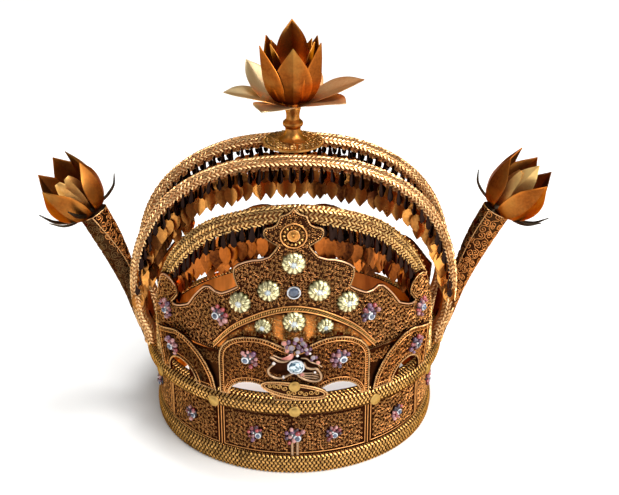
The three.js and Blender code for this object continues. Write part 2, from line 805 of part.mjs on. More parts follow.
function leafRows({ reach, tip, bend }) {
  return LEAF_SECTIONS.map(({ share, half, fold }) => ({
    r: lerp(LEAF_ROOT.r, reach, share),
    z: lerp(LEAF_ROOT.z, tip, share ** bend),
    half,
    fold,
  }));
}

const LOTUS_PETAL = [
  { r: 3.5, z: 218.2, half: 2.4, fold: 0.5 },
  { r: 12, z: 220.6, half: 6.4, fold: 2 },
  { r: 18.5, z: 229, half: 10, fold: 3.5 },
  { r: 20.5, z: 241, half: 8.6, fold: 3 },
  { r: 20.5, z: 255.5, half: 0.5, fold: 0 },
];
const HEART_BACK = [
  { r: 2.5, z: 225, half: 2, fold: 0.4 },
  { r: 7, z: 231, half: 6.5, fold: 2.2 },
  { r: 10, z: 242, half: 10, fold: 4.2 },
  { r: 9.5, z: 254, half: 8, fold: 3.4 },
  { r: 6.5, z: 266, half: 0.5, fold: 0 },
];
const HEART_SIDE = [
  { r: 2.5, z: 225, half: 1.2, fold: 0.3 },
  { r: 7, z: 230.5, half: 3.4, fold: 0.9 },
  { r: 11, z: 239, half: 5, fold: 1.8 },
  { r: 13, z: 248, half: 4.2, fold: 1.4 },
  { r: 14, z: 255, half: 0.5, fold: 0 },
];
const [LEAF_TOP, CUP_TOP, HEART_TOP] = [216, 222, 229]; // tops of the tiers' hubs
const LOTUS_TIERS = [
  {
    name: "lotus_leaves",
    tiers: LOTUS_LEAVES.map((leaf) => ({ rows: leafRows(leaf), angles: [leaf.angle] })),
    hub: disc(8, STEM_TOP + GAP, LEAF_TOP),
  },
  {
    name: "lotus_petals",
    tiers: [{ rows: LOTUS_PETAL, angles: allRound(5, -90) }],
    hub: disc(6, LEAF_TOP + GAP, CUP_TOP),
  },
  {
    name: "lotus_heart",
    tiers: [
      { rows: HEART_BACK, angles: [90] },
      { rows: HEART_SIDE, angles: [20, 160] },
    ],
    hub: disc(4, CUP_TOP + GAP, HEART_TOP),
  },
];
for (const { name, tiers, hub } of LOTUS_TIERS) {
  place(crown, name, whorl(tiers, hub), FINISHES.petal);
}

// Horns: curved tapering tubes at the sides, their tails against the rim
const HORN_PATH = [
  { x: 104, z: 46, radius: 2.2 },
  { x: 104.6, z: 58, radius: 3 },
  { x: 106.6, z: 70, radius: 3.9 },
  { x: 110.4, z: 85, radius: 5 },
  { x: 116.6, z: 104, radius: 7 },
  { x: 124.8, z: 123, radius: 8.6 },
  { x: 134.2, z: 141, radius: 9.2 },
];
const HORN_SIDES = 10;

function horn(path) {
  return loft(
    path.map(({ x, z, radius }, i) => {
      const before = path[Math.max(i - 1, 0)];
      const after = path[Math.min(i + 1, path.length - 1)];
      const slope = new THREE.Vector2(after.x - before.x, after.z - before.z).normalize();
      return Array.from({ length: HORN_SIDES }, (_, side) => {
        const angle = (2 * Math.PI * side) / HORN_SIDES;
        const out = radius * Math.cos(angle);
        const across = radius * Math.sin(angle);
        return new THREE.Vector3(x + out * slope.y, across, z - out * slope.x);
      });
    }),
  );
}

// Buds: lotus flowers half open that tip over the mouths of the horns, with thin sepals under
// them; heights are along the bud's own axis from the horn's mouth
const BUD_OUTER = [
  { r: 4, z: 6.8, half: 2.4, fold: 0.8 },
  { r: 12.5, z: 10, half: 6.2, fold: 3 },
  { r: 17.5, z: 20, half: 9.2, fold: 4.2 },
  { r: 16.5, z: 32, half: 7.4, fold: 2.8 },
  { r: 13.5, z: 42, half: 0.5, fold: 0 },
];
const BUD_INNER = [
  { r: 3, z: 7.2, half: 2.4, fold: 0.6 },
  { r: 7.5, z: 14, half: 6.4, fold: 2 },
  { r: 9.5, z: 24, half: 7.6, fold: 2.8 },
  { r: 8, z: 33, half: 5, fold: 1.6 },
  { r: 5.5, z: 41, half: 0.5, fold: 0 },
];
const BUD_SEPAL = [
  { r: 6, z: 4.5, half: 2, fold: 0 },
  { r: 15, z: 5, half: 2.4, fold: 0.3 },
  { r: 22.5, z: 9, half: 1.9, fold: 0.2 },
  { r: 27.5, z: 17, half: 0.4, fold: 0 },
];
const SEPAL_TIERS = [{ rows: BUD_SEPAL, angles: allRound(4, 0) }];
const CALYX = [[0, 1.3], [3, 1.3], [9, 4], [9, 5.2], [0, 5.2]];
const BUD_FOOT = CALYX.at(-1)[1] + GAP;
const BUD_HUB = disc(BUD.hubRadius, BUD_FOOT, BUD_FOOT + BUD.hubHeight);

// The left horn was bent a little less than the right one; first is its foremost petal
const ARMS = [
  { word: "right", turn: 0, reach: 0.985, first: -45 },
  { word: "left", turn: 180, reach: 0.91, first: 45 },
];
for (const { word, turn, reach, first } of ARMS) {
  const tail = HORN_PATH[0].x;
  const path = HORN_PATH.map((row) => ({ ...row, x: tail + reach * (row.x - tail) }));
  const arm = turnedGroup(turn);
  place(arm, `horn_${word}`, horn(path), FINISHES.filigree);
  const mouth = new THREE.Group();
  const [neck, end] = path.slice(-2);
  mouth.position.set(end.x, 0, end.z);
  mouth.rotation.y = Math.atan2(end.x - neck.x, end.z - neck.z) + degToRad(BUD.bend);
  arm.add(mouth);
  const petals = [
    { rows: BUD_OUTER, angles: allRound(5, first) },
    { rows: BUD_INNER, angles: allRound(3, 0) },
  ];
  place(mouth, `sepals_${word}`, whorl(SEPAL_TIERS, CALYX), FINISHES.petal);
  place(mouth, `bud_${word}`, whorl(petals, BUD_HUB), FINISHES.petal);
}

export default crown;
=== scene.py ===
# %% [markdown]
# # A royal crown of gold filigree
# The crown is soldered from a few kinds of goldsmith's work: plaited wire bands, sheets covered with wire
# scrolls, hanging leaves, petals beaten from sheet, and small set stones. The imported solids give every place
# and size, and this lesson dresses them. Three small Geometry Nodes trees do most of it: wire along lines,
# beads along lines, and ornaments on points.

# %% Load the solids
import bisect
import math
import random

import bmesh
import bpy
from mathutils import Matrix, Vector
from mathutils.bvhtree import BVHTree


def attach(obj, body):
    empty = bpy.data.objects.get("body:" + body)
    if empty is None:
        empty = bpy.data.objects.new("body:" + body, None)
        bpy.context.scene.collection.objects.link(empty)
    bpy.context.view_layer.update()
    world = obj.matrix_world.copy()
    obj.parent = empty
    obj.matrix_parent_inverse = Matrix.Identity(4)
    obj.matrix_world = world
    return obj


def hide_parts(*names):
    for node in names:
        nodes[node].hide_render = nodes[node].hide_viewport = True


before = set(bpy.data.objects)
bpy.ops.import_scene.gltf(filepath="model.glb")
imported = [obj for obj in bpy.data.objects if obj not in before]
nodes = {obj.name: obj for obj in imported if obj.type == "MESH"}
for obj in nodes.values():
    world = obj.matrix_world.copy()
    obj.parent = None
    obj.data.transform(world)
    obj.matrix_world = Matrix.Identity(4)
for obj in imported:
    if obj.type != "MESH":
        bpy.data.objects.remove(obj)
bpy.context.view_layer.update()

MM = 0.001
UP = Vector((0, 0, 1))
scene = bpy.context.scene

# %% [markdown]
# ## The camera
# The photograph looks at the front from about 25 degrees above and under a metre away. A camera that was
# fitted to the rolls, the arches and the lotus gives the eye and the lens. The crown's axis stands a little
# left of the picture's middle, so the camera is turned slightly to the right; a shift of the lens would
# follow it to every view.

# %% Camera
EYE = Vector((0, -0.7208, 0.4504))
LOOK_DOWN = math.radians(24.98)
LOOK_RIGHT = math.radians(0.84)
LENS = 69.31

camera = bpy.data.objects.new("camera", bpy.data.cameras.new("camera"))
camera.data.lens = LENS
camera.location = EYE
camera.rotation_euler = (math.pi / 2 - LOOK_DOWN, 0, -LOOK_RIGHT)
scene.collection.objects.link(camera)
scene.camera = camera
print(f"camera at {[round(v, 3) for v in camera.location]}, lens {camera.data.lens} mm")

# %% [markdown]
# ## Studio: floor, light and tone
# Gold shows what it mirrors, so the light is what models it. A very wide sun from the upper right keeps the
# pale floor even, a panel on the same side lights whatever turns that way, two small ones give the sparks on
# the wires, and a dim sky leaves the crevices and the far side of every fold dark.

# %% Node helpers, floor and light


def add(tree, kind, links=None, **settings):
    """A node with its settings; links maps an input to a socket that feeds it or to a plain value."""
    node = tree.nodes.new(kind)
    for key, value in settings.items():
        setattr(node, key, value)
    for key, value in (links or {}).items():
        if isinstance(value, bpy.types.NodeSocket):
            tree.links.new(value, node.inputs[key])
        else:
            node.inputs[key].default_value = value
    return node


def noise(tree, place, scale, detail=2.0):
    inputs = {"Vector": place, "Scale": scale, "Detail": detail}
    return add(tree, "ShaderNodeTexNoise", inputs).outputs["Fac"]


def blend(tree, share, first, second):
    """A mix of two colours."""
    return add(tree, "ShaderNodeMix", {0: share, 6: first, 7: second}, data_type="RGBA").outputs[2]


def new_object(name, data):
    obj = bpy.data.objects.new(name, data)
    scene.collection.objects.link(obj)
    return obj


def floor_disc(radius, sides):
    mesh = bpy.data.meshes.new("floor")
    disc = bmesh.new()
    bmesh.ops.create_circle(disc, cap_ends=True, segments=sides, radius=radius)
    disc.to_mesh(mesh)
    disc.free()
    return new_object("floor", mesh)


def floor_paint():
    material = bpy.data.materials.new("floor_paint")
    material.use_nodes = True
    tree = material.node_tree
    place = add(tree, "ShaderNodeTexCoord").outputs["Object"]
    tone = blend(tree, noise(tree, place, 2.0), (0.90, 0.90, 0.89, 1), (0.94, 0.94, 0.93, 1))
    shader = tree.nodes["Principled BSDF"]
    tree.links.new(tone, shader.inputs["Base Color"])
    shader.inputs["Roughness"].default_value = 0.7
    return material


FLOOR = {"radius": 12, "sides": 96}  # metres, so that it fills every view
floor = floor_disc(**FLOOR)
floor.data.materials.append(floor_paint())


def light(name, kind, place, aim, energy, **settings):
    lamp = bpy.data.lights.new(name, kind)
    lamp.energy = energy
    for key, value in settings.items():
        setattr(lamp, key, value)
    obj = new_object(name, lamp)
    obj.location = place
    obj.rotation_euler = (Vector(aim) - Vector(place)).to_track_quat("-Z", "Y").to_euler()
    return obj


MIDDLE = (0, 0, 0.12)
light("sun", "SUN", (1.2, -0.9, 2.0), MIDDLE, 3.0, angle=math.radians(75))
light("key_panel", "AREA", (0.9, -0.7, 0.75), MIDDLE, 8.5, size=0.6, color=(1.0, 0.97, 0.92))
light("fill_panel", "AREA", (-0.95, -0.65, 0.75), MIDDLE, 0.7, size=0.2, color=(1.0, 0.98, 0.95))
light("top_panel", "AREA", (0.05, 0.1, 1.1), MIDDLE, 7.0, size=0.35)

SKY = {"Color": (1.0, 0.99, 0.97, 1), "Strength": 0.32}
world = bpy.data.worlds.new("studio")
world.use_nodes = True
for key, value in SKY.items():
    world.node_tree.nodes["Background"].inputs[key].default_value = value
scene.world = world
scene.view_settings.view_transform = "Standard"

# %% [markdown]
# ## Finishes
# All the metal is one old gold, so one shader group makes its ageing: broad clouds of tarnish and a fine
# grain. It also paints shade where a surface turns towards its ground. The trees write that painted shade on
# each mesh as an attribute, 0 at the ground and 1 on top, so a wire is painted bright on its back and dark at
# its foot; ornaments add a random tone to it.

# %% Aged gold, the shared group


def number(tree, operation, *values, **settings):
    """What a math node gives for some values."""
    return add(tree, "ShaderNodeMath", dict(enumerate(values)), operation=operation, **settings).outputs[0]


def ranged(tree, value, low, high, first=0.0, last=1.0):
    """A value moved from one range to another."""
    ends = {"Value": value, "From Min": low, "From Max": high, "To Min": first, "To Max": last}
    return add(tree, "ShaderNodeMapRange", ends).outputs[0]


def aged_gold_group():
    tree = bpy.data.node_groups.new("aged_gold", "ShaderNodeTree")
    for label in ("Bright", "Deep", "Tarnish"):
        tree.interface.new_socket(label, in_out="INPUT", socket_type="NodeSocketColor")
    for label in ("Lift", "Patch", "Cloud Scale", "Grain Scale", "Gloss", "Dull"):
        tree.interface.new_socket(label, in_out="INPUT", socket_type="NodeSocketFloat")
    tree.interface.new_socket("Color", in_out="OUTPUT", socket_type="NodeSocketColor")
    for label in ("Roughness", "Height"):
        tree.interface.new_socket(label, in_out="OUTPUT", socket_type="NodeSocketFloat")
    given = tree.nodes.new("NodeGroupInput").outputs
    place = add(tree, "ShaderNodeTexCoord").outputs["Object"]
    cloud = noise(tree, place, given["Cloud Scale"], detail=3.0)
    grain = noise(tree, place, given["Grain Scale"])
    uneven = number(tree, "MULTIPLY_ADD", cloud, 0.9, -0.45)
    speck = number(tree, "MULTIPLY_ADD", grain, 0.5, -0.25)
    both = number(tree, "ADD", uneven, speck)
    # Real clouds and grain, plus painted shade where the surface faces its ground.
    wear_and_painted_shade = number(tree, "ADD", both, given["Lift"], use_clamp=True)
    metal = blend(tree, wear_and_painted_shade, given["Deep"], given["Bright"])
    amount = number(tree, "MULTIPLY", ranged(tree, cloud, 0.42, 0.68), given["Patch"])
    results = {
        "Color": blend(tree, amount, metal, given["Tarnish"]),
        "Roughness": ranged(tree, wear_and_painted_shade, 0.0, 1.0, given["Dull"], given["Gloss"]),
        "Height": grain,
    }
    add(tree, "NodeGroupOutput", results)
    return tree


aged_gold = aged_gold_group()
print("group:", aged_gold.name, [item.name for item in aged_gold.interface.items_tree])

# %% How a gold finish is made
SLOPE_END = 0.3


def value_of(tree, value):
    """A number as it is, the mesh attribute of that name, or a slope between two places along X."""
    if isinstance(value, str):
        return add(tree, "ShaderNodeAttribute", attribute_name=value).outputs["Fac"]
    if isinstance(value, tuple):
        place = add(tree, "ShaderNodeTexCoord").outputs["Object"]
        x = add(tree, "ShaderNodeSeparateXYZ", {0: place}).outputs["X"]
        return ranged(tree, x, *value, first=1.0, last=SLOPE_END)
    return value


# Tarnished gold stays brown where it is seen from the side, so its sheen there isn't white.
EDGE_TINT = (0.55, 0.3, 0.16, 1)
GRAIN_SCALE, GRAIN_RELIEF, GRAIN_DEPTH = 650, 0.2, 0.2 * MM


def gold(name, bright, deep, tarnish, lift="lift", patch=0.4, cloud=55, gloss=0.22, dull=0.5):
    """A gold finish; painted shade and tone, and patch: numbers, mesh attributes, or slopes along X."""
    material = bpy.data.materials.new(name)
    material.use_nodes = True
    tree = material.node_tree
    aged = add(
        tree,
        "ShaderNodeGroup",
        {
            "Bright": (*bright, 1),
            "Deep": (*deep, 1),
            "Tarnish": (*tarnish, 1),
            "Lift": value_of(tree, lift),
            "Patch": value_of(tree, patch),
            "Cloud Scale": cloud,
            "Grain Scale": GRAIN_SCALE,
            "Gloss": gloss,
            "Dull": dull,
        },
        node_tree=aged_gold,
    ).outputs
    ends = {"Height": aged["Height"], "Strength": GRAIN_RELIEF, "Distance": GRAIN_DEPTH}
    bump = add(tree, "ShaderNodeBump", ends)
    shader = tree.nodes["Principled BSDF"]
    shader.inputs["Metallic"].default_value = 1.0
    shader.inputs["Specular Tint"].default_value = EDGE_TINT
    tree.links.new(aged["Color"], shader.inputs["Base Color"])
    tree.links.new(aged["Roughness"], shader.inputs["Roughness"])
    tree.links.new(bump.outputs["Normal"], shader.inputs["Normal"])
    return material

# %% The gold finishes
wire_gold = gold("wire_gold", (0.96, 0.43, 0.14), (0.030, 0.008, 0.003), (0.34, 0.18, 0.05), patch=0.5)
# Real tarnish patches; the slope makes them grow towards the left, a painted shade on that side.
crest_gold = gold(
    "crest_gold",
    (0.80, 0.31, 0.085),
    (0.022, 0.006, 0.002),
    (0.045, 0.033, 0.015),
    patch=(-20 * MM, 25 * MM),
    cloud=24,
)
plait_gold = gold("plait_gold", (0.78, 0.43, 0.13), (0.026, 0.006, 0.003), (0.38, 0.19, 0.055), gloss=0.2)
band_gold = gold("band_gold", (0.92, 0.56, 0.21), (0.05, 0.014, 0.005), (0.50, 0.26, 0.08), gloss=0.2)
# On the arches the slope mixes in more of the third colour towards the right leg, which is darker there.
arch_gold = gold(
    "arch_gold", (1.0, 0.67, 0.32), (0.58, 0.25, 0.09), (0.42, 0.2, 0.07), patch=(98 * MM, 30 * MM), gloss=0.3
)
arch_core = gold(
    "arch_core",
    (0.84, 0.39, 0.14),
    (0.14, 0.045, 0.015),
    (0.2, 0.09, 0.03),
    lift=0.5,
    patch=(98 * MM, 30 * MM),
    dull=0.5,
)
# A dark copy of the gold for wires on sides in shadow: painted shade.
shade_gold = gold("shade_gold", (0.18, 0.09, 0.034), (0.010, 0.004, 0.003), (0.09, 0.065, 0.03), gloss=0.26)
core_gold = gold(
    "core_gold", (0.24, 0.07, 0.02), (0.03, 0.008, 0.003), (0.11, 0.055, 0.018), lift=0.5, dull=0.55
)
edge_gold = gold("edge_gold", (0.80, 0.45, 0.19), (0.035, 0.010, 0.004), (0.30, 0.16, 0.05), gloss=0.22)
lip_painted_highlight_gold = gold("lip_painted_highlight_gold", (0.80, 0.46, 0.26), (0.10, 0.03, 0.012), (0.42, 0.22, 0.10), gloss=0.22)
# The slope mixes in more dark colour towards the left: painted shade on the arch leaves there.
leaf_gold = gold(
    "leaf_gold",
    (1.0, 0.43, 0.095),
    (0.07, 0.018, 0.006),
    (0.11, 0.035, 0.011),
    lift="tone",
    patch=(-100 * MM, -40 * MM),
)
inner_leaf_gold = gold(
    "inner_leaf_gold", (0.56, 0.15, 0.024), (0.03, 0.006, 0.003), (0.20, 0.08, 0.025), lift="tone", patch=0.35
)
link_gold = gold("link_gold", (0.024, 0.012, 0.009), (0.006, 0.004, 0.003), (0.012, 0.009, 0.009), gloss=0.16)
petal_gold = gold(
    "petal_gold",
    (0.48, 0.135, 0.018),
    (0.05, 0.009, 0.003),
    (0.26, 0.155, 0.038),
    patch="tip",
    cloud=42,
    gloss=0.3,
    dull=0.44,
)
# Brighter than the petal gold: painted light on the lotus heart, which the petals shade.
inner_gold_painted_light = gold(
    "inner_gold_painted_light",
    (0.86, 0.29, 0.045),
    (0.05, 0.009, 0.003),
    (0.36, 0.2, 0.05),
    patch="tip",
    cloud=42,
    gloss=0.24,
    dull=0.4,
)
# Pale and bright: painted light on the bud hearts, which their petals shade.
heart_gold_painted_light = gold(
    "heart_gold_painted_light", (0.92, 0.50, 0.15), (0.36, 0.13, 0.03), (0.90, 0.66, 0.26), patch="tip", gloss=0.34
)
# The slope along X paints light on the lotus leaves at the left and shade on those at the right.
sheet_gold = gold(
    "sheet_gold",
    (0.93, 0.68, 0.37),
    (0.53, 0.22, 0.08),
    (0.46, 0.37, 0.19),
    lift=(-24 * MM, 16 * MM),
    patch="tip",
    cloud=42,
    gloss=0.34,
    dull=0.48,
)
pale_gold = gold(
    "pale_gold", (0.92, 0.82, 0.47), (0.05, 0.05, 0.016), (0.48, 0.46, 0.24), gloss=0.18, dull=0.45
)
silver = gold("silver", (0.62, 0.64, 0.67), (0.07, 0.07, 0.08), (0.30, 0.28, 0.27), gloss=0.2, dull=0.4)
dark_silver = gold(
    "dark_silver", (0.17, 0.18, 0.21), (0.03, 0.03, 0.04), (0.10, 0.08, 0.06), lift=0.5, gloss=0.3
)
ribbon_gold = gold("ribbon_gold", (0.46, 0.29, 0.17), (0.045, 0.02, 0.012), (0.26, 0.22, 0.15), gloss=0.24)
# Nearly black for the horn tubes under their scrolls, partly painted shade.
horn_gold = gold(
    "horn_gold", (0.062, 0.019, 0.006), (0.010, 0.004, 0.002), (0.03, 0.02, 0.008), lift=0.5, dull=0.5
)
polished_gold = gold(
    "polished_gold", (0.70, 0.30, 0.065), (0.14, 0.035, 0.008), (0.5, 0.24, 0.06), lift=0.55, gloss=0.16
)
# The finial disc is bright gold, partly painted light where the lotus shades it.
disc_gold_painted_light = gold("disc_gold_painted_light", (0.98, 0.58, 0.18), (0.22, 0.07, 0.02), (0.6, 0.34, 0.1), lift=0.6, gloss=0.24)
rivet_gold = gold(
    "rivet_gold", (0.66, 0.40, 0.12), (0.12, 0.06, 0.015), (0.34, 0.25, 0.08), lift=0.6, gloss=0.26
)
sepal_gold = gold(
    "sepal_gold", (0.08, 0.065, 0.045), (0.015, 0.011, 0.008), (0.1, 0.08, 0.05), lift=0.5, gloss=0.3
)
print("metal finishes:", [m.name for m in bpy.data.materials if m.use_nodes and m.name != "floor_paint"])

# %% [markdown]
# ## Stones
# The stones are small foiled cuts. A real one is clear and shines by its foil, so a coloured stone here is a
# glossy body with cloudy colour, and the clear ones let some light through.

# %% Stone finishes
STONE_SURFACE = {"Roughness": 0.05, "IOR": 1.65}
STONE_SPREAD = 0.45


def stone(name, light_colour, dark_colour, clear=0.0, cloud_scale=300.0, contrast=1.0, tone="tone"):
    """A cut stone; clouds and its own tone, a number or an attribute, set its colour between two."""
    material = bpy.data.materials.new(name)
    material.use_nodes = True
    tree = material.node_tree
    place = add(tree, "ShaderNodeTexCoord").outputs["Object"]
    mixed = number(tree, "ADD", noise(tree, place, cloud_scale), value_of(tree, tone))
    spread = ranged(tree, mixed, 1 - STONE_SPREAD / contrast, 1 + STONE_SPREAD / contrast)
    colour = blend(tree, spread, (*dark_colour, 1), (*light_colour, 1))
    shader = tree.nodes["Principled BSDF"]
    tree.links.new(colour, shader.inputs["Base Color"])
    for key, value in (STONE_SURFACE | {"Transmission Weight": clear}).items():
        shader.inputs[key].default_value = value
    return material


red_stone = stone("red_stone", (0.38, 0.06, 0.06), (0.035, 0.003, 0.012))
pink_stone = stone("pink_stone", (0.54, 0.26, 0.24), (0.13, 0.035, 0.045))
purple_stone = stone("purple_stone", (0.16, 0.065, 0.12), (0.012, 0.003, 0.012))
blue_stone = stone("blue_stone", (0.10, 0.13, 0.20), (0.004, 0.006, 0.018))
coral_stone = stone("coral_stone", (0.62, 0.24, 0.18), (0.18, 0.04, 0.04))
grey_stone = stone("grey_stone", (0.34, 0.28, 0.32), (0.04, 0.022, 0.035))
# White stone for the spray's small beads and for the painted glints on the clusters.
pearl_and_glint_stone = stone("pearl_and_glint_stone", (0.86, 0.80, 0.76), (0.50, 0.42, 0.40))
clear_stone = stone("clear_stone", (0.88, 0.94, 0.96), (0.40, 0.54, 0.62), clear=0.35)
# Pale blue, with sharp light and dark blotches painted as reflections of its facets.
large_stone = stone(
    "large_stone", (0.74, 0.88, 0.94), (0.015, 0.06, 0.10), cloud_scale=520, contrast=4.0, tone=0.48
)
print("stones:", [m.name for m in bpy.data.materials if m.name.endswith("_stone")])

# %% [markdown]
# ## Three trees for wire work
# A goldsmith lays wire, rows of grains and small ornaments. Each could be modelled one by one, but the crown
# has thousands of them, so they are instanced by Geometry Nodes from simple meshes of lines and points. The
# lines and points carry which way is out from the ground, so every bead sits upright on a curved wall.

# %% Shared parts of the trees
# Painted shade: a surface that faces its ground is painted dark, one that faces out bright.
PAINTED_SHADE_RANGE = (-0.2, 0.9)  # from the dark foot of a wire to its bright back


def new_tree(name, *inputs):
    tree = bpy.data.node_groups.new(name, "GeometryNodeTree")
    tree.interface.new_socket("Geometry", in_out="OUTPUT", socket_type="NodeSocketGeometry")
    for label, kind in (("Geometry", "Geometry"), *inputs, ("Finish", "Material")):
        tree.interface.new_socket(label, in_out="INPUT", socket_type=f"NodeSocket{kind}")
    return tree, tree.nodes.new("NodeGroupInput").outputs, tree.nodes.new("NodeGroupOutput")


def named(tree, name, data_type):
    return add(tree, "GeometryNodeInputNamedAttribute", {"Name": name}, data_type=data_type).outputs[0]


def stored(tree, geometry, name, value):
    """The geometry with a number stored on its points."""
    return add(
        tree,
        "GeometryNodeStoreNamedAttribute",
        {"Geometry": geometry, "Name": name, "Value": value},
        data_type="FLOAT",
        domain="POINT",
    ).outputs[0]


def end_tree(tree, end, geometry, finish, vary=0.0):
    """Makes the instances real, paints shade by how far each point faces from the ground, gives the finish."""
    real = add(tree, "GeometryNodeRealizeInstances", {"Geometry": geometry}).outputs[0]
    normal = add(tree, "GeometryNodeInputNormal").outputs["Normal"]
    outward = named(tree, "outward", "FLOAT_VECTOR")
    facing = add(
        tree, "ShaderNodeVectorMath", {0: normal, 1: outward}, operation="DOT_PRODUCT"
    ).outputs["Value"]
    share = ranged(tree, facing, *PAINTED_SHADE_RANGE)
    tone = number(tree, "SUBTRACT", named(tree, "tone", "FLOAT"), 0.5)
    # The stored value is painted shade, shifted by each ornament's random tone.
    marked = stored(tree, real, "lift", number(tree, "MULTIPLY_ADD", tone, vary, share))
    dressed = add(tree, "GeometryNodeSetMaterial", {"Geometry": marked, "Material": finish}).outputs[0]
    tree.links.new(dressed, end.inputs["Geometry"])


def any_number(tree, low, high, seed):
    inputs = {2: low, 3: high, "Seed": seed}
    return add(tree, "FunctionNodeRandomValue", inputs, data_type="FLOAT").outputs[1]


def set_ornament(tree, points, ornament, along, turn, jitter):
    """Instances of one object on points: Z looks outward and X along, then turned about Z, more or less."""
    shape = add(tree, "GeometryNodeObjectInfo", {"Object": ornament, "As Instance": True}).outputs["Geometry"]
    stand = add(
        tree,
        "FunctionNodeAxesToRotation",
        {"Primary Axis": named(tree, "outward", "FLOAT_VECTOR"), "Secondary Axis": along},
        primary_axis="Z",
        secondary_axis="X",
    ).outputs[0]
    angle = number(tree, "MULTIPLY_ADD", any_number(tree, -0.5, 0.5, seed=12), jitter, turn)
    spin = add(tree, "FunctionNodeAxisAngleToRotation", {"Axis": (0, 0, 1), "Angle": angle}).outputs[0]
    turned_to = add(
        tree, "FunctionNodeRotateRotation", {"Rotation": stand, "Rotate By": spin}, rotation_space="LOCAL"
    ).outputs[0]
    toned = stored(tree, points, "tone", any_number(tree, 0.0, 1.0, seed=11))
    size = named(tree, "size", "FLOAT")
    return add(
        tree,
        "GeometryNodeInstanceOnPoints",
        {"Points": toned, "Instance": shape, "Rotation": turned_to, "Scale": size},
    ).outputs[0]


# %% The trees: wire_along_lines, beads_along_lines, ornaments_on_points


def even_curve(tree, geometry, length):
    """The lines as curves with points at an even distance."""
    curve = add(tree, "GeometryNodeMeshToCurve", {"Mesh": geometry}).outputs[0]
    inputs = {"Curve": curve, "Length": length}
    return add(tree, "GeometryNodeResampleCurve", inputs, mode="LENGTH").outputs[0]


wire_along_lines, given, end = new_tree(
    "wire_along_lines", ("Radius", "Float"), ("Sides", "Int"), ("Step", "Float")
)
even = even_curve(wire_along_lines, given["Geometry"], given["Step"])
section = add(
    wire_along_lines,
    "GeometryNodeCurvePrimitiveCircle",
    {"Resolution": given["Sides"], "Radius": given["Radius"]},
).outputs[0]
tube = add(
    wire_along_lines,
    "GeometryNodeCurveToMesh",
    {
        "Curve": even,
        "Profile Curve": section,
        "Scale": named(wire_along_lines, "size", "FLOAT"),
        "Fill Caps": True,
    },
).outputs[0]
end_tree(wire_along_lines, end, tube, given["Finish"])

beads_along_lines, given, end = new_tree(
    "beads_along_lines", ("Bead", "Object"), ("Pitch", "Float"), ("Vary", "Float"), ("Jitter", "Float")
)
even = even_curve(beads_along_lines, given["Geometry"], given["Pitch"])
tangent = add(beads_along_lines, "GeometryNodeInputTangent").outputs[0]
slant = named(beads_along_lines, "slant", "FLOAT")
beads = set_ornament(beads_along_lines, even, given["Bead"], tangent, slant, given["Jitter"])
end_tree(beads_along_lines, end, beads, given["Finish"], given["Vary"])

ornaments_on_points, given, end = new_tree(
    "ornaments_on_points", ("Ornament", "Object"), ("Vary", "Float"), ("Jitter", "Float")
)
along = named(ornaments_on_points, "along", "FLOAT_VECTOR")
placed = set_ornament(ornaments_on_points, given["Geometry"], given["Ornament"], along, 0.0, given["Jitter"])
end_tree(ornaments_on_points, end, placed, given["Finish"], given["Vary"])
print("trees:", [tree.name for tree in bpy.data.node_groups if tree.bl_idname == "GeometryNodeTree"])

# %% Lines, spots and what runs a tree on them


def store(mesh, name, kind, values):
    layer = mesh.attributes.new(name, kind, "POINT")
    if kind == "FLOAT_VECTOR":
        layer.data.foreach_set("vector", [part for value in values for part in value])
    else:
        layer.data.foreach_set("value", values)


def line(points, outward, closed=False, slant=0.0, size=1.0):
    """A path of points with the way out at each; slant turns its beads, size scales them or the wire."""
    sizes = size if isinstance(size, list) else [size] * len(points)
    return {
        "points": points, "outward": outward, "closed": closed, "slant": math.radians(slant), "size": sizes
    }


def line_through(rows, **options):
    """A line from rows of (point, way out)."""
    return line([row[0] for row in rows], [row[1] for row in rows], **options)


def lines_mesh(lines):
    points, edges, outward, slants, sizes = [], [], [], [], []
    for row in lines:
        first, count = len(points), len(row["points"])
        points += row["points"]
        outward += row["outward"]
        sizes += row["size"]
        slants += [row["slant"]] * count
        edges += [(first + i, first + i + 1) for i in range(count - 1)]
        if row["closed"]:
            edges.append((first + count - 1, first))
    mesh = bpy.data.meshes.new("lines")
    mesh.from_pydata(points, edges, [])
    store(mesh, "outward", "FLOAT_VECTOR", outward)
    store(mesh, "slant", "FLOAT", slants)
    store(mesh, "size", "FLOAT", sizes)
    return mesh


def spots_mesh(spots):
    """Points from rows of (point, outward, along, size)."""
    mesh = bpy.data.meshes.new("spots")
    mesh.from_pydata([spot[0] for spot in spots], [], [])
    store(mesh, "outward", "FLOAT_VECTOR", [spot[1] for spot in spots])
    store(mesh, "along", "FLOAT_VECTOR", [spot[2] for spot in spots])
    store(mesh, "size", "FLOAT", [spot[3] for spot in spots])
    return mesh


def made_by(tree, name, source_mesh, **inputs):
    """The plain mesh that a tree makes of lines or spots, as a new object."""
    source = new_object(name + ".source", source_mesh)
    modifier = source.modifiers.new(tree.name, "NODES")
    modifier.node_group = tree
    for item in tree.interface.items_tree:
        if item.in_out == "INPUT" and item.name in inputs:
            modifier[item.identifier] = inputs[item.name]
    evaluated = source.evaluated_get(bpy.context.evaluated_depsgraph_get())
    mesh = bpy.data.meshes.new_from_object(evaluated)
    for spare in ("outward", "along", "slant", "size"):
        if spare in mesh.attributes:
            mesh.attributes.remove(mesh.attributes[spare])
    source.modifiers.remove(modifier)
    bpy.data.objects.remove(source)
    return new_object(name, mesh)


def wires(name, lines, finish, radius, sides=6, step=1.4):
    return made_by(
        wire_along_lines,
        name,
        lines_mesh(lines),
        Radius=radius * MM,
        Sides=sides,
        Step=step * MM,
        Finish=finish,
    )


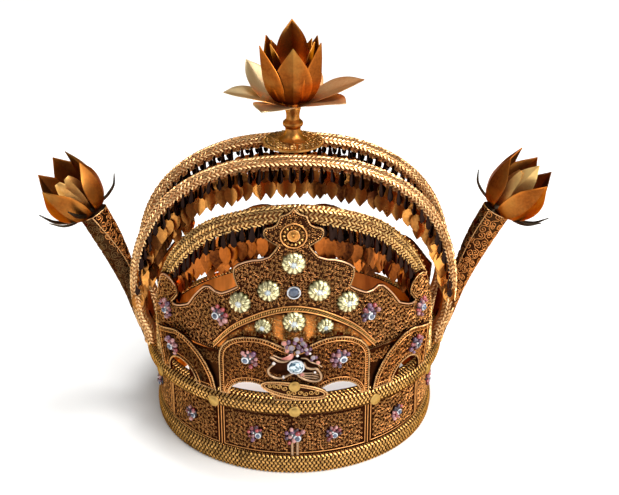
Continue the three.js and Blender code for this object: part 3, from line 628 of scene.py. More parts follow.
def beads_on(name, lines, finish, bead, pitch, vary=0.5, jitter=0.3):
    inputs = {"Bead": bead, "Pitch": pitch * MM, "Vary": vary, "Jitter": jitter, "Finish": finish}
    return made_by(beads_along_lines, name, lines_mesh(lines), **inputs)


def ornaments(name, spots, finish, ornament, vary=0.4, jitter=0.0):
    inputs = {"Ornament": ornament, "Vary": vary, "Jitter": jitter, "Finish": finish}
    return made_by(ornaments_on_points, name, spots_mesh(spots), **inputs)


def tracery(name, spots, finish):
    """Scrolls of wire that were bent and laid by hand, so no two lie quite alike."""
    return ornaments(name, spots, finish, scroll, vary=0.7, jitter=1.5)


def finish_piece(obj, slot, *replaced):
    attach(obj, "root")
    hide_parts(*replaced)
    obj.data.calc_loop_triangles()
    print(f"{obj.name}: {len(obj.data.loop_triangles)} triangles")
    return obj


# %% [markdown]
# ## Small patterns
# These are the shapes that the trees repeat: a slim bead for the fine plaits, a stout one for the rolls, a
# round grain, and the S-scroll of wire that fills every sheet. Each has a few dozen faces at most, because
# some come in thousands.

# %% Skins and patterns


def mesh_of(name, points, faces, finish=None, smooth=True, crease=35, marks=None):
    """A clean mesh: doubles merged, faces outward, smooth up to a crease in degrees, points marked."""
    shape = bmesh.new()
    layers = [(shape.verts.layers.float.new(label), values) for label, values in (marks or {}).items()]
    corners = [shape.verts.new(point) for point in points]
    for layer, values in layers:
        for corner, value in zip(corners, values):
            corner[layer] = value
    for face in faces:
        if len(set(face)) > 2:
            shape.faces.new([corners[i] for i in face])
    bmesh.ops.remove_doubles(shape, verts=shape.verts, dist=1e-6)
    bmesh.ops.dissolve_degenerate(shape, edges=shape.edges, dist=1e-7)
    bmesh.ops.recalc_face_normals(shape, faces=shape.faces)
    for face in shape.faces:
        face.smooth = smooth
    mesh = bpy.data.meshes.new(name)
    shape.to_mesh(mesh)
    shape.free()
    if smooth:
        mesh.set_sharp_from_angle(angle=math.radians(crease))
    if finish:
        mesh.materials.append(finish)
    return mesh


def skin(rings, around=False):
    """Points and faces of a skin over closed rings of equal length; around joins last and first."""
    count = len(rings[0])
    points = [point for ring in rings for point in ring]
    faces = []
    rows = len(rings) if around else len(rings) - 1
    for row in range(rows):
        here, there = row * count, (row + 1) % len(rings) * count
        for side in range(count):
            beside = (side + 1) % count
            faces.append((here + side, here + beside, there + beside, there + side))
    if not around:
        faces.append(tuple(range(count)))
        faces.append(tuple(range((len(rings) - 1) * count, len(rings) * count)))
    return points, faces


def sheet_faces(rows, columns):
    """Faces of a thin sheet: two grids of points, one behind the other, joined along their rim."""
    count = rows * columns
    faces = []
    for first in (0, count):
        for i in range(rows - 1):
            for j in range(columns - 1):
                a = first + i * columns + j
                faces.append((a, a + 1, a + columns + 1, a + columns))
    rim = list(range(columns)) + [i * columns + columns - 1 for i in range(1, rows)]
    rim += [count - columns + j for j in reversed(range(columns - 1))]
    rim += [i * columns for i in range(rows - 2, 0, -1)]
    return faces + [(a, b, b + count, a + count) for a, b in zip(rim, rim[1:] + rim[:1])]


def pattern(name, points, faces, smooth=True, crease=60):
    """An object that the trees repeat; it is taken out of the scene at the end."""
    scaled = [Vector(point) * MM for point in points]
    obj = new_object("pattern_" + name, mesh_of(name, scaled, faces, smooth=smooth, crease=crease))
    patterns.append(obj)
    return obj


def spindle(rows, sides, flat=1.0):
    """Rings about X from rows of (x, radius); flat squeezes the height."""
    rings = []
    for x, radius in rows:
        steps = [math.tau * (side + 0.5) / sides for side in range(sides)]
        rings.append([(x, radius * math.cos(a), flat * radius * math.sin(a)) for a in steps])
    return skin(rings)


def scroll_path(reach, turns, steps, closing):
    """An S of two spirals that meet in the middle; closing is how far each winds in."""
    half = []
    for i in range(steps + 1):
        share = i / steps
        angle = math.tau * turns * share
        radius = reach * (1 - closing * share)
        half.append((reach - radius * math.cos(angle), radius * math.sin(angle)))
    return [(-x, -y) for x, y in reversed(half[1:])] + half


def ridge(path, half, top, height):
    """Flattened wire laid along a flat path: half its width at the foot and at the top, and its height."""
    rings = []
    for i, (x, y) in enumerate(path):
        before, after = path[max(i - 1, 0)], path[min(i + 1, len(path) - 1)]
        side = Vector((before[1] - after[1], after[0] - before[0])).normalized()
        section = ((half, 0), (-half, 0), (-top, height), (top, height))
        rings.append([(x + side.x * across, y + side.y * across, z) for across, z in section])
    return skin(rings)


patterns = []
grain_bead = pattern("grain_bead", *spindle([(-1, 0.14), (0, 0.5), (1, 0.14)], 5, 0.85))
barley_bead = pattern("barley_bead", *spindle([(-1, 0.3), (0, 0.76), (1, 0.3)], 6, 0.8))
round_grain = pattern("round_grain", *spindle([(-0.9, 0.35), (0, 1.0), (0.9, 0.35)], 5))
scroll_wire = ridge(scroll_path(reach=1.45, turns=0.9, steps=4, closing=0.6), half=0.23, top=0.09, height=0.8)
scroll = pattern("scroll", *scroll_wire, crease=100)
print("patterns:", {obj.name: len(obj.data.polygons) for obj in patterns})

# %% [markdown]
# ## Places on the crown
# Everything on the round walls is placed by an angle from the front and a height, as a goldsmith marks it out
# with dividers. Plates that are cut to a lively outline are asked by a ray whether gold is there.

# %% Walls, plates and outlines


def radial(phi):
    angle = math.radians(phi)
    return Vector((math.sin(angle), -math.cos(angle), 0))


def sideways(phi):
    angle = math.radians(phi)
    return Vector((math.cos(angle), math.sin(angle), 0))


def on_wall(radius, phi, z):
    """A place at a radius, an angle and a height in millimetres."""
    return (radial(phi) * radius + UP * z) * MM


def circle_line(radius, z, tilt=0, start=0.0, **options):
    """A closed line round the crown; tilt raises its way out, start is its first angle, both in degrees."""
    turn = math.radians(tilt)
    angles = [start + step for step in range(0, 360, 2)]
    outward = [radial(phi) * math.cos(turn) + UP * math.sin(turn) for phi in angles]
    return line([on_wall(radius, phi, z) for phi in angles], outward, closed=True, **options)


OUTSIDE, RAY = 135, 50  # a ray looks at the plates from here, this far


def plate_finder(*names):
    """A function that gives the outer face of the named plates at an angle and a height, or None."""
    trees = []
    for name in names:
        mesh = nodes[name].data
        corners = [vertex.co for vertex in mesh.vertices]
        trees.append(BVHTree.FromPolygons(corners, [face.vertices[:] for face in mesh.polygons]))

    def find(phi, z):
        for tree in trees:
            point, normal, _, _ = tree.ray_cast(on_wall(OUTSIDE, phi, z), -radial(phi), RAY * MM)
            if point is not None and normal.dot(radial(phi)) > 0.5:
                return point
        return None

    return find


SCROLL_PITCH = 3.45
SCROLL_ROW = 1.95
SCROLL_SIZE = 0.66
SCROLL_TURNS = (24, -38)


def scroll_spots(find, phis, heights, radius, margin=1.6, bare=lambda phi, z: False):
    """Scrolls in staggered rows wherever the plate goes on for a margin all round."""
    step = math.degrees(SCROLL_PITCH / radius)
    rim = math.degrees(margin / radius)
    spots = []
    for row in range(int((heights[1] - heights[0]) / SCROLL_ROW) + 1):
        z = heights[0] + row * SCROLL_ROW
        for column in range(int((phis[1] - phis[0]) / step) + 1):
            phi = phis[0] + (column + 0.5 * (row % 2)) * step
            ring = [(phi, z), (phi - rim, z), (phi + rim, z), (phi, z - margin), (phi, z + margin)]
            if bare(phi, z) or not all(find(*place) for place in ring):
                continue
            turn = math.radians(SCROLL_TURNS[(row + column) % 2])
            along = sideways(phi) * math.cos(turn) + UP * math.sin(turn)
            spots.append((find(phi, z), radial(phi), along, SCROLL_SIZE))
    return spots


def faces_out(face):
    return face.normal.dot(Vector((*face.calc_center_median().xy, 0)).normalized()) > 0.6


def outline_loops(name):
    """The edges of a plate's outer face, as loops of points with the plate on their left."""
    shape = bmesh.new()
    shape.from_mesh(nodes[name].data)
    bmesh.ops.remove_doubles(shape, verts=shape.verts, dist=1e-6)
    outer = [face for face in shape.faces if faces_out(face)]
    inside_outline = set(outer)
    follow = {}
    for face in outer:
        for corner in face.loops:
            beside = corner.edge.link_faces
            if len(beside) == 2 and not all(near in inside_outline for near in beside):
                follow[corner.vert.co.copy().freeze()] = corner.link_loop_next.vert.co.copy().freeze()
    shape.free()
    loops = []
    while follow:
        start, here = follow.popitem()
        loop = [start]
        while here in follow:
            loop.append(here)
            here = follow.pop(here)
        if len(loop) > 4:
            loops.append([Vector(point) for point in loop])
    return loops


def border(loop, inset, proud, swell=0.0, **options):
    """A line inside a loop's edge, in millimetres; swell thickens it where the edge looks up."""
    points, outward, sizes = [], [], []
    for i, point in enumerate(loop):
        way_out = Vector((*point.xy, 0)).normalized()
        inward = way_out.cross((loop[(i + 1) % len(loop)] - loop[i - 1]).normalized())
        points.append(point + (inward * inset + way_out * proud) * MM)
        outward.append(way_out)
        sizes.append(1 + swell * max(0.0, -inward.z))
    return line(points, outward, closed=True, **({"size": sizes} | options))


print("front plate found at", plate_finder("crest_front")(0, 80))

# %% [markdown]
# ## Two-sided sheet
# The sheets are dull outside, under the wires, and burnished inside. Outside they are dark red-brown, partly
# the reddened gold of the crown and partly painted shade between the wires. Each face of a sheet knows which
# side it is on by an attribute, so one finish serves both. The inside colour runs in up-and-down streaks of
# painted reflection, with painted shade towards the right.

# %% Plate finish
# The inside colour runs between these in streaks of painted reflection, with painted shade towards the right.
INSIDE_BRIGHT, INSIDE_DEEP = (0.98, 0.32, 0.06), (0.10, 0.018, 0.005)
INSIDE_SHADE_SLOPE = (-30 * MM, 75 * MM)
INSIDE_ROUGHNESS = 0.32
REFLECTION_STREAKS = (1.0, 1.0, 0.3)
# Dark outside ground: partly the reddened gold of the crown, partly painted shade between the wires.
GROUND_DYE_AND_SHADE = (0.058, 0.016, 0.006), (0.005, 0.002, 0.0015), (0.02, 0.012, 0.006)


def two_sided_ground():
    material = gold("plate_gold", *GROUND_DYE_AND_SHADE, lift=0.5, dull=0.6)
    tree = material.node_tree
    shader = tree.nodes["Principled BSDF"]
    inside = value_of(tree, "inside")
    place = add(tree, "ShaderNodeTexCoord").outputs["Object"]
    streak_place = add(tree, "ShaderNodeVectorMath", {0: place, 1: REFLECTION_STREAKS}, operation="MULTIPLY").outputs["Vector"]
    painted_streaks_and_shade = ranged(tree, noise(tree, streak_place, 62.0, detail=3.0), 0.32, 0.66)
    painted_streaks_and_shade = number(tree, "MULTIPLY", painted_streaks_and_shade, value_of(tree, INSIDE_SHADE_SLOPE))
    inside_colour_and_painted_light = blend(tree, painted_streaks_and_shade, (*INSIDE_DEEP, 1), (*INSIDE_BRIGHT, 1))
    colour = shader.inputs["Base Color"].links[0].from_socket
    rough = shader.inputs["Roughness"].links[0].from_socket
    both = blend(tree, inside, colour, inside_colour_and_painted_light)
    both_rough = add(tree, "ShaderNodeMix", {0: inside, 2: rough, 3: INSIDE_ROUGHNESS}).outputs[0]
    tree.links.new(both, shader.inputs["Base Color"])
    tree.links.new(both_rough, shader.inputs["Roughness"])
    return material


plate_gold = two_sided_ground()


def mark_inside(mesh):
    """Stores on each face whether it looks towards the crown's axis."""
    layer = mesh.attributes.new("inside", "FLOAT", "FACE")
    outward = [Vector((*face.center.xy, 0)).normalized() for face in mesh.polygons]
    inner = [float(face.normal.dot(way) < -0.3) for face, way in zip(mesh.polygons, outward)]
    layer.data.foreach_set("value", inner)
    return mesh


def smooth_copy(name, finish, *names):
    """Merged copies of solids as one smoothly shaded mesh, with its inner faces marked."""
    points, faces = [], []
    for node in names:
        mesh = nodes[node].data
        first = len(points)
        points += [vertex.co.copy() for vertex in mesh.vertices]
        faces += [tuple(first + i for i in face.vertices) for face in mesh.polygons]
    return new_object(name, mark_inside(mesh_of(name, points, faces, finish=finish, crease=30)))


print("sheet finish:", plate_gold.name)

# %% [markdown]
# ## Circlet
# The head band is a sheet with two thick rolls of plaited wire, one at its foot and one at its rim. A plait
# could be a texture, but its grains catch the light one by one, so each roll is a turned core under slanted
# rows of beads that stand half a step apart. Between the rolls are framed panels of scrolls.

# %% Circlet core


def turned(name, profile, sides, finish):
    """A closed profile of (radius, height) turned about the crown's axis."""
    rings = []
    for i in range(sides):
        phi = 360 * i / sides
        rings.append([on_wall(radius, phi, z) for radius, z in profile])
    mesh = mesh_of(name, *skin(rings, around=True), finish=finish)
    return new_object(name, mark_inside(mesh))


BASE = {"inner": 89.5, "outer": 94.3, "top": 13}
WALL = {"inner": 91, "outer": 92.6}
RIM = {"bottom": 46.5, "top": 57.5, "outer": 99.8}

circlet_core = turned(
    "circlet_core",
    [
        (BASE["inner"], 0),
        (92.8, 0),
        (93.9, 0.8),
        (BASE["outer"], 2.4),
        (BASE["outer"], 10.2),
        (93.6, 12.0),
        (WALL["outer"], BASE["top"]),
        (WALL["outer"], RIM["bottom"]),
        (97.2, RIM["bottom"]),
        (98.8, 47.4),
        (RIM["outer"], 50),
        (RIM["outer"], 54.2),
        (98.9, 56.2),
        (97.4, 57.1),
        (WALL["inner"], RIM["top"]),
        (WALL["inner"], BASE["top"]),
        (BASE["inner"], 11),
    ],
    sides=144,
    finish=plate_gold,
)
finish_piece(circlet_core, "filigree_gold", "circlet")

# %% Circlet rolls
ROLL_PITCH = 2.7
ROLL_BEAD = 1.3
ROLL_ROWS = [  # radius, height, tilt, slant
    (93.8, 1.2, -20, 58),
    (94.3, 3.3, -6, -58),
    (94.5, 5.5, 0, 58),
    (94.5, 7.7, 4, -58),
    (94.2, 9.8, 16, 58),
    (93.5, 11.7, 42, -58),
    (98.6, 47.5, -32, 58),
    (99.6, 49.5, -14, -58),
    (99.9, 51.7, 0, 58),
    (99.8, 53.9, 12, -58),
    (99.0, 55.9, 34, 58),
    (97.3, 57.2, 66, -58),
    (95.2, 57.6, 86, 58),
    (93.0, 57.6, 90, -58),
]
roll_lines = []
for i, (radius, z, tilt, slant) in enumerate(ROLL_ROWS):
    start = math.degrees(0.5 * ROLL_PITCH / radius) * (i % 2)
    roll_lines.append(circle_line(radius, z, tilt=tilt, start=start, slant=slant, size=ROLL_BEAD))
GRAIN_ROWS = [
    circle_line(92.9, 13.2, tilt=50, size=0.5),
    circle_line(97.0, 46.4, tilt=-60, size=0.5),
]
GRAIN_STEP = 1.5
UNDER_RIM = 6  # the row that looks down
# The row that looks down gets shade_gold: painted shade under the rim roll.
under_rim = beads_on("circlet_under_rim", [roll_lines.pop(UNDER_RIM)], shade_gold, barley_bead, ROLL_PITCH)
circlet_rolls = beads_on("circlet_rolls", roll_lines, plait_gold, barley_bead, ROLL_PITCH)
circlet_grains = beads_on("circlet_grains", GRAIN_ROWS, plait_gold, round_grain, GRAIN_STEP)
for piece in (under_rim, circlet_rolls, circlet_grains):
    finish_piece(piece, "plaited_gold", "circlet")

# %% Circlet panels
PANEL_SPAN = 30
PANEL_EDGE = 1.25  # degrees from the middle of a divider to the panel's frame
PANEL_BOTTOM, PANEL_TOP = 15.0, 45.0
FRAME_STEPS = 24
PANELS = [(-30, 30)] + [(phi, phi + PANEL_SPAN) for phi in range(30, 330, PANEL_SPAN)]
PANEL_ROSETTE = {"z": 28, "radius": 4.6}
PANEL_SCROLLS = {"phis": (0, 357.5), "heights": (17.2, 42.2)}


def panel_frame(left, right):
    width = right - left - 2 * PANEL_EDGE
    phis = [left + PANEL_EDGE + width * i / FRAME_STEPS for i in range(FRAME_STEPS + 1)]
    places = [(phi, PANEL_BOTTOM) for phi in phis] + [(phi, PANEL_TOP) for phi in reversed(phis)]
    return line_through(
        [(on_wall(WALL["outer"] + 0.4, phi, z), radial(phi)) for phi, z in places], closed=True
    )


def off_panel(phi, z):
    """Where a panel is bare: at its dividers and under its rosettes."""
    turn = (phi + 180) % 360 - 180
    nearest = min(abs((phi - left + 180) % 360 - 180) for left, _ in PANELS)
    from_rosette = min(abs(phi % PANEL_SPAN - PANEL_SPAN / 2), abs(turn))
    across = math.radians(from_rosette) * WALL["outer"]
    by_rosette = math.hypot(across, z - PANEL_ROSETTE["z"]) < PANEL_ROSETTE["radius"]
    return nearest < PANEL_EDGE + 1.2 or by_rosette


def on_panel(phi, z):
    return on_wall(WALL["outer"], phi, z)


panel_spots = scroll_spots(on_panel, radius=WALL["outer"], bare=off_panel, **PANEL_SCROLLS)
finish_piece(tracery("circlet_scrolls", panel_spots, wire_gold), "filigree_gold", "circlet")
frames = [panel_frame(*panel) for panel in PANELS]
finish_piece(wires("circlet_frames", frames, wire_gold, radius=0.32), "filigree_gold", "circlet")


def upright_line(radius, phi, heights):
    return line_through([(on_wall(radius, phi, z), radial(phi)) for z in heights])


DIVIDER_HEIGHTS = (PANEL_BOTTOM - 1, 30, PANEL_TOP + 1)
dividers = [upright_line(WALL["outer"] + 0.2, left, DIVIDER_HEIGHTS) for left, _ in PANELS]
finish_piece(wires("circlet_dividers", dividers, wire_gold, radius=0.35), "filigree_gold", "circlet")

# %% Rivets and the bars under the front flower
DOME_ROWS = [(0, 1.0), (0.16, 1.0), (0.22, 0.92), (0.18, 0.8), (0.3, 0.62), (0.37, 0.36), (0.39, 0.12)]
DOME_SIDES = 16
RIVETS = {"radius": 100.4, "z": 50.5, "size": 3.8}
BARS = {"radius": 93.5, "heights": (14, 18, 24)}


def circle(radius, z, count, shift=0.0):
    turns = [math.tau * (i + shift) / count for i in range(count)]
    return [(radius * math.cos(turn), radius * math.sin(turn), z) for turn in turns]


dome = pattern("dome", *skin([circle(radius, z, DOME_SIDES) for z, radius in DOME_ROWS]))
rivet_spots = []
for phi in range(0, 360, PANEL_SPAN):
    if phi not in (90, 270):  # there the horns stand
        seat = on_wall(RIVETS["radius"], phi, RIVETS["z"])
        rivet_spots.append((seat, radial(phi), UP, RIVETS["size"]))
finish_piece(ornaments("circlet_rivets", rivet_spots, rivet_gold, dome), "filigree_gold", "circlet")
bars = [upright_line(phi=phi, **BARS) for phi in (-1.0, 1.0)]
finish_piece(wires("circlet_bars", bars, ribbon_gold, radius=1.1), "filigree_gold", "circlet")

# %% [markdown]
# ## Crest plates
# Eight petal-shaped plates stand on the rim and lean out. Their cut outlines are already right in the solids,
# so each plate is a merged, smoothly shaded copy, and the edges of its outer face become the lines for a
# round rim wire, a comb of short bars and a fine inner wire. Dark webs of sheet close the gaps between the
# front plates, with scrolls near their top. Behind the jewelled spray the crest is left bare, so its dark
# ground paints the spray's shadow.

# %% Crest plates and edges
CRESTS = [f"crest_{place}_{side}" for place in ("front", "side", "rear") for side in ("left", "right")]
CRESTS += ["crest_front", "crest_rear"]
finish_piece(smooth_copy("crest_plates", plate_gold, *CRESTS), "filigree_gold", *CRESTS)
crest_loops = [loop for name in CRESTS for loop in outline_loops(name)]
crest_edges = [border(loop, inset=0.45, proud=0.3, slant=32, size=0.95) for loop in crest_loops]
finish_piece(beads_on("crest_edges", crest_edges, edge_gold, grain_bead, pitch=1.3), "filigree_gold", *CRESTS)
crest_lines = [border(loop, inset=3.0, proud=0.1) for loop in crest_loops]
finish_piece(wires("crest_lines", crest_lines, wire_gold, radius=0.34), "filigree_gold", *CRESTS)
comb = [border(loop, inset=1.9, proud=0.1, slant=90, size=0.85) for loop in crest_loops]
finish_piece(beads_on("crest_comb", comb, crest_gold, grain_bead, pitch=1.7), "filigree_gold", *CRESTS)

# %% Crest webs and scrolls
CREST_RADIUS = 102  # in the middle of its height
CREST_SCROLLS = {"phis": (-180, 178), "heights": (61.5, 103)}
SPRAY_SHADE = {"z": 84, "half": 15, "rise": 8.5}


def by_spray(phi, z):
    """The crest is left bare behind the spray, so its dark ground paints the spray's shadow."""
    across = math.radians(phi) * CREST_RADIUS / SPRAY_SHADE["half"]
    return math.hypot(across, (z - SPRAY_SHADE["z"]) / SPRAY_SHADE["rise"]) < 1


WEBS = [(-42, -25), (25, 42)]  # angles
WEB_HEIGHTS = (60, 74, 87.5)
WEB_STEPS = 8
WEB_DEPTHS = (1.7, 2.2)  # of its two sides behind the crest's face
WEB_SCROLLS = (79, 86.5)
CREST_LEAN = 0.105
CREST_FOOT = {"radius": 99.6, "z": 57.8}


def crest_face(z):
    return CREST_FOOT["radius"] + CREST_LEAN * (z - CREST_FOOT["z"])


def on_web(phi, z):
    return on_wall(crest_face(z) - WEB_DEPTHS[0], phi, z)


web_points, web_faces = [], []
for left, right in WEBS:
    phis = [left + (right - left) * i / WEB_STEPS for i in range(WEB_STEPS + 1)]
    section = [(z, crest_face(z) - WEB_DEPTHS[0]) for z in WEB_HEIGHTS]
    section += [(z, crest_face(z) - WEB_DEPTHS[1]) for z in reversed(WEB_HEIGHTS)]
    more, more_faces = skin([[on_wall(radius, phi, z) for z, radius in section] for phi in phis])
    web_faces += [tuple(len(web_points) + i for i in face) for face in more_faces]
    web_points += more
web_mesh = mesh_of("crest_webs", web_points, web_faces, finish=plate_gold)
crest_webs = new_object("crest_webs", mark_inside(web_mesh))
finish_piece(crest_webs, "filigree_gold", "crest_front", "crest_front_left", "crest_front_right")
crest_finder = plate_finder(*CRESTS)
crest_spots = scroll_spots(crest_finder, radius=CREST_RADIUS, margin=4.0, bare=by_spray, **CREST_SCROLLS)
finish_piece(tracery("crest_scrolls", crest_spots, crest_gold), "filigree_gold", *CRESTS)
web_spots = []
for left, right in WEBS:
    web_spots += scroll_spots(on_web, (left + 1.5, right - 1.5), WEB_SCROLLS, CREST_RADIUS - 1)
web_scrolls = tracery("crest_web_scrolls", web_spots, crest_gold)
finish_piece(web_scrolls, "filigree_gold", "crest_front_left", "crest_front_right")

# %% [markdown]
# ## Diadem
# The cusped front plate is made as the crest is. Below the medallion its rim wire swells to a rolled lip
# where the edge looks up, in a paler finish that paints a highlight there. A rope arches over a brighter
# field at its foot, and a boss ringed with grains marks the medallion.

# %% Diadem plate and edges
finish_piece(smooth_copy("diadem_plate", plate_gold, "diadem"), "filigree_gold", "diadem")
diadem_loops = outline_loops("diadem")
diadem_edges = [border(loop, inset=0.4, proud=0.3, slant=32, size=0.8) for loop in diadem_loops]
rim_wire = beads_on("diadem_edges", diadem_edges, edge_gold, grain_bead, pitch=1.1)
finish_piece(rim_wire, "filigree_gold", "diadem")

# %% Diadem lips and grains
LIP_TOP = 158
LIP_SWELL = 1.5


def upper_stretches(loop):
    """The runs of a loop's border where its edge looks up, below the medallion."""
    whole = border(loop, inset=0.2, proud=0.5, swell=1.0)
    rows = list(zip(whole["points"], whole["outward"], whole["size"]))
    start = next(i for i, row in enumerate(rows) if row[2] < LIP_SWELL)
    runs, run = [], []
    for row in rows[start:] + rows[:start]:
        if row[2] > LIP_SWELL and row[0].z < LIP_TOP * MM:
            run.append(row)
        elif run:
            runs.append(run)
            run = []
    runs = [run for run in runs if len(run) > 2]
    return [line_through(run, size=[row[2] - 1 for row in run]) for run in runs]


lips = [run for loop in diadem_loops for run in upper_stretches(loop)]
# A paler finish on the lips: a painted highlight on the edges that look up.
finish_piece(wires("diadem_lips", lips, lip_painted_highlight_gold, radius=0.65), "filigree_gold", "diadem")
edge_grains = [border(loop, inset=1.8, proud=0.3, size=0.5) for loop in diadem_loops]
edge_beads = beads_on("diadem_edge_grains", edge_grains, wire_gold, round_grain, GRAIN_STEP)
finish_piece(edge_beads, "filigree_gold", "diadem")

# %% Diadem rope and scrolls
DIADEM_FACE = 99.3
DIADEM_SCROLLS = {"phis": (-62, 62), "heights": (87, 184)}
ARCH_WIRE = [
    (-29.5, 89),
    (-23, 101.5),
    (-16.5, 109.8),
    (-8, 117),
    (0, 119.6),
    (8, 117),
    (16.5, 109.8),
    (23, 101.5),
    (29.5, 89),
]


def smooth_rows(rows, steps):
    """Rows of numbers with more between them, on a smooth curve through all."""
    given_rows = [Vector(row) for row in rows]
    ends = [2 * given_rows[0] - given_rows[1], *given_rows, 2 * given_rows[-1] - given_rows[-2]]
    result = []
    for a, b, c, d in zip(ends, ends[1:], ends[2:], ends[3:]):
        for i in range(steps):
            t = i / steps
            curve = 2 * b + (c - a) * t + (2 * a - 5 * b + 4 * c - d) * t * t
            result.append(0.5 * (curve + (3 * b - a - 3 * c + d) * t**3))
    return [*result, given_rows[-1]]


def wall_line(radius, rows, steps=6, **options):
    """A line on a round wall through rows of (angle, height)."""
    smooth = smooth_rows(rows, steps)
    return line_through([(on_wall(radius, phi, z), radial(phi)) for phi, z in smooth], **options)


def under_arch(phi, z, spare):
    """Whether a place on the diadem lies under its arch of wire, or at most the spare height above."""
    for (phi_a, z_a), (phi_b, z_b) in zip(ARCH_WIRE, ARCH_WIRE[1:]):
        if phi_a <= phi <= phi_b:
            return z < z_a + (z_b - z_a) * (phi - phi_a) / (phi_b - phi_a) + spare
    return False


arch_wires = [wall_line(DIADEM_FACE + 0.4, [(phi, z + shift) for phi, z in ARCH_WIRE]) for shift in (0, 3.2)]
finish_piece(wires("diadem_arch_wires", arch_wires, wire_gold, radius=0.5), "filigree_gold", "diadem")
rope = wall_line(DIADEM_FACE + 0.4, [(phi, z + 1.6) for phi, z in ARCH_WIRE], slant=50, size=1.15)
finish_piece(beads_on("diadem_rope", [rope], plait_gold, grain_bead, pitch=1.6), "filigree_gold", "diadem")


def by_arch(phi, z):
    return under_arch(phi, z, 5.0)


diadem_finder = plate_finder("diadem")
diadem_spots = scroll_spots(diadem_finder, radius=DIADEM_FACE, margin=3.0, bare=by_arch, **DIADEM_SCROLLS)
finish_piece(tracery("diadem_scrolls", diadem_spots, wire_gold), "filigree_gold", "diadem")

# %% Diadem field
FIELD_COLUMNS, FIELD_ROWS = 132, 16
FIELD_RIBS = 11
FIELD_HALF = 28.5  # degrees
FIELD_FOOT, FIELD_TOP = 89.2, 118.6


def field_sheet():
    """A thin bright sheet under the arch, beaten into shallow ribs, with painted shade in the valleys between
    them.
    """
    points, painted_shades = [], []
    for side in (0, 1):
        for i in range(FIELD_COLUMNS + 1):
            phi = -FIELD_HALF + 2 * FIELD_HALF * i / FIELD_COLUMNS
            top = next(z for z in (FIELD_TOP - 0.25 * k for k in range(160)) if under_arch(phi, z, -0.8))
            wave = abs(math.sin(math.pi * FIELD_RIBS * i / FIELD_COLUMNS))
            for j in range(FIELD_ROWS + 1):
                share = j / FIELD_ROWS
                swell = wave**0.7 * math.sin(math.pi * share) ** 0.6
                face = DIADEM_FACE + (0.1 if side else 0.35 + 0.5 * swell)
                points.append(on_wall(face, phi, FIELD_FOOT + max(top - FIELD_FOOT, 0.2) * share))
                painted_shades.append(swell)
    faces = sheet_faces(FIELD_COLUMNS + 1, FIELD_ROWS + 1)
    mesh = mesh_of("diadem_field", points, faces, finish=field_gold, crease=50, marks={"lift": painted_shades})
    return new_object("diadem_field", mesh)


def on_field(phi, z):
    return on_wall(DIADEM_FACE + 0.6, phi, z) if under_arch(phi, z, -0.6) else None


field_gold = gold(
    "field_gold", (0.62, 0.20, 0.04), (0.05, 0.011, 0.004), (0.4, 0.18, 0.05), patch=0.2, gloss=0.2
)
finish_piece(field_sheet(), "filigree_gold", "diadem")
field_spots = scroll_spots(on_field, (-28, 28), (FIELD_FOOT + 1.6, 119), DIADEM_FACE)
finish_piece(tracery("diadem_field_scrolls", field_spots, plait_gold), "filigree_gold", "diadem")

# %% Medallion
MEDALLION_Z = 168.5
MEDALLION_SIDES = 32
MEDALLION_RINGS, MEDALLION_GRAINS = (3.4, 7.6), 5.5  # their radii


def ring_on_medallion(reach, proud):
    """A small closed circle about its middle."""
    middle = on_wall(DIADEM_FACE + proud, 0, MEDALLION_Z)
    places = circle(1, 0, MEDALLION_SIDES)
    points = [middle + (sideways(0) * across + UP * up) * reach * MM for across, up, _ in places]
    return line(points, [radial(0)] * MEDALLION_SIDES, closed=True)


medallion_rings = [ring_on_medallion(reach, 0.6) for reach in MEDALLION_RINGS]
finish_piece(wires("medallion_rings", medallion_rings, wire_gold, radius=0.5), "filigree_gold", "diadem")
grain_ring = [ring_on_medallion(MEDALLION_GRAINS, 0.9)]
medallion_grains = beads_on("medallion_grains", grain_ring, plait_gold, round_grain, pitch=2.5, vary=0.2)
finish_piece(medallion_grains, "filigree_gold", "diadem")
boss_spot = [(on_wall(DIADEM_FACE + 0.3, 0, MEDALLION_Z), radial(0), UP, 3.2)]
finish_piece(ornaments("medallion_boss", boss_spot, polished_gold, dome), "filigree_gold", "diadem")
boss_top = [(on_wall(DIADEM_FACE + 1.3, 0, MEDALLION_Z), radial(0), UP, 1.2)]
finish_piece(ornaments("medallion_top", boss_top, plait_gold, round_grain), "filigree_gold", "diadem")

# %% [markdown]
# ## Hoop and high arches
# The hoop follows the round front wall, the two arches cross from side to side. All are bands wrapped in a
# fine chain of plaited wire. The band is a red-brown skin over sections along a smooth path, and rows of
# slanted beads run along it at fixed places round the section. A few single grains stand on the upper edge.

# %% Paths
HOOP_RADIUS = 95
HOOP_HALF = [
    (0, 180), (12.5, 177.2), (24.7, 170), (34.8, 160), (46.3, 142), (55, 124), (61.5, 105), (65.7, 84),
    (66.6, 70), (66.6, 57.8),
]
ARCH_HALF = [
    (0, 183.4), (22, 182.2), (42, 178.4), (63, 169.4), (80, 156.4), (92, 140), (99.5, 120), (102.3, 99),
    (100.5, 78), (96, 66), (95, 57.8),
]
ARCH_OFFSET = 21.7
PATH_STEPS = 8


def mirrored_path(half):
    """Stations (along, height, normal along, normal up) on a curve through half a path and its mirror."""
    rows = [(-x, z) for x, z in reversed(half[1:])] + list(half)
    path = smooth_rows(rows, PATH_STEPS)
    stations = []
    for i, (x, z) in enumerate(path):
        before, after = path[max(i - 1, 0)], path[min(i + 1, len(path) - 1)]
        ahead = (after - before).normalized()
        normal = (math.copysign(1, x), 0) if i in (0, len(path) - 1) else (-ahead.y, ahead.x)
        stations.append((x, z, *normal))
    return stations


hoop_path = mirrored_path([(math.radians(phi) * HOOP_RADIUS, z) for phi, z in HOOP_HALF])
arch_path = mirrored_path(ARCH_HALF)


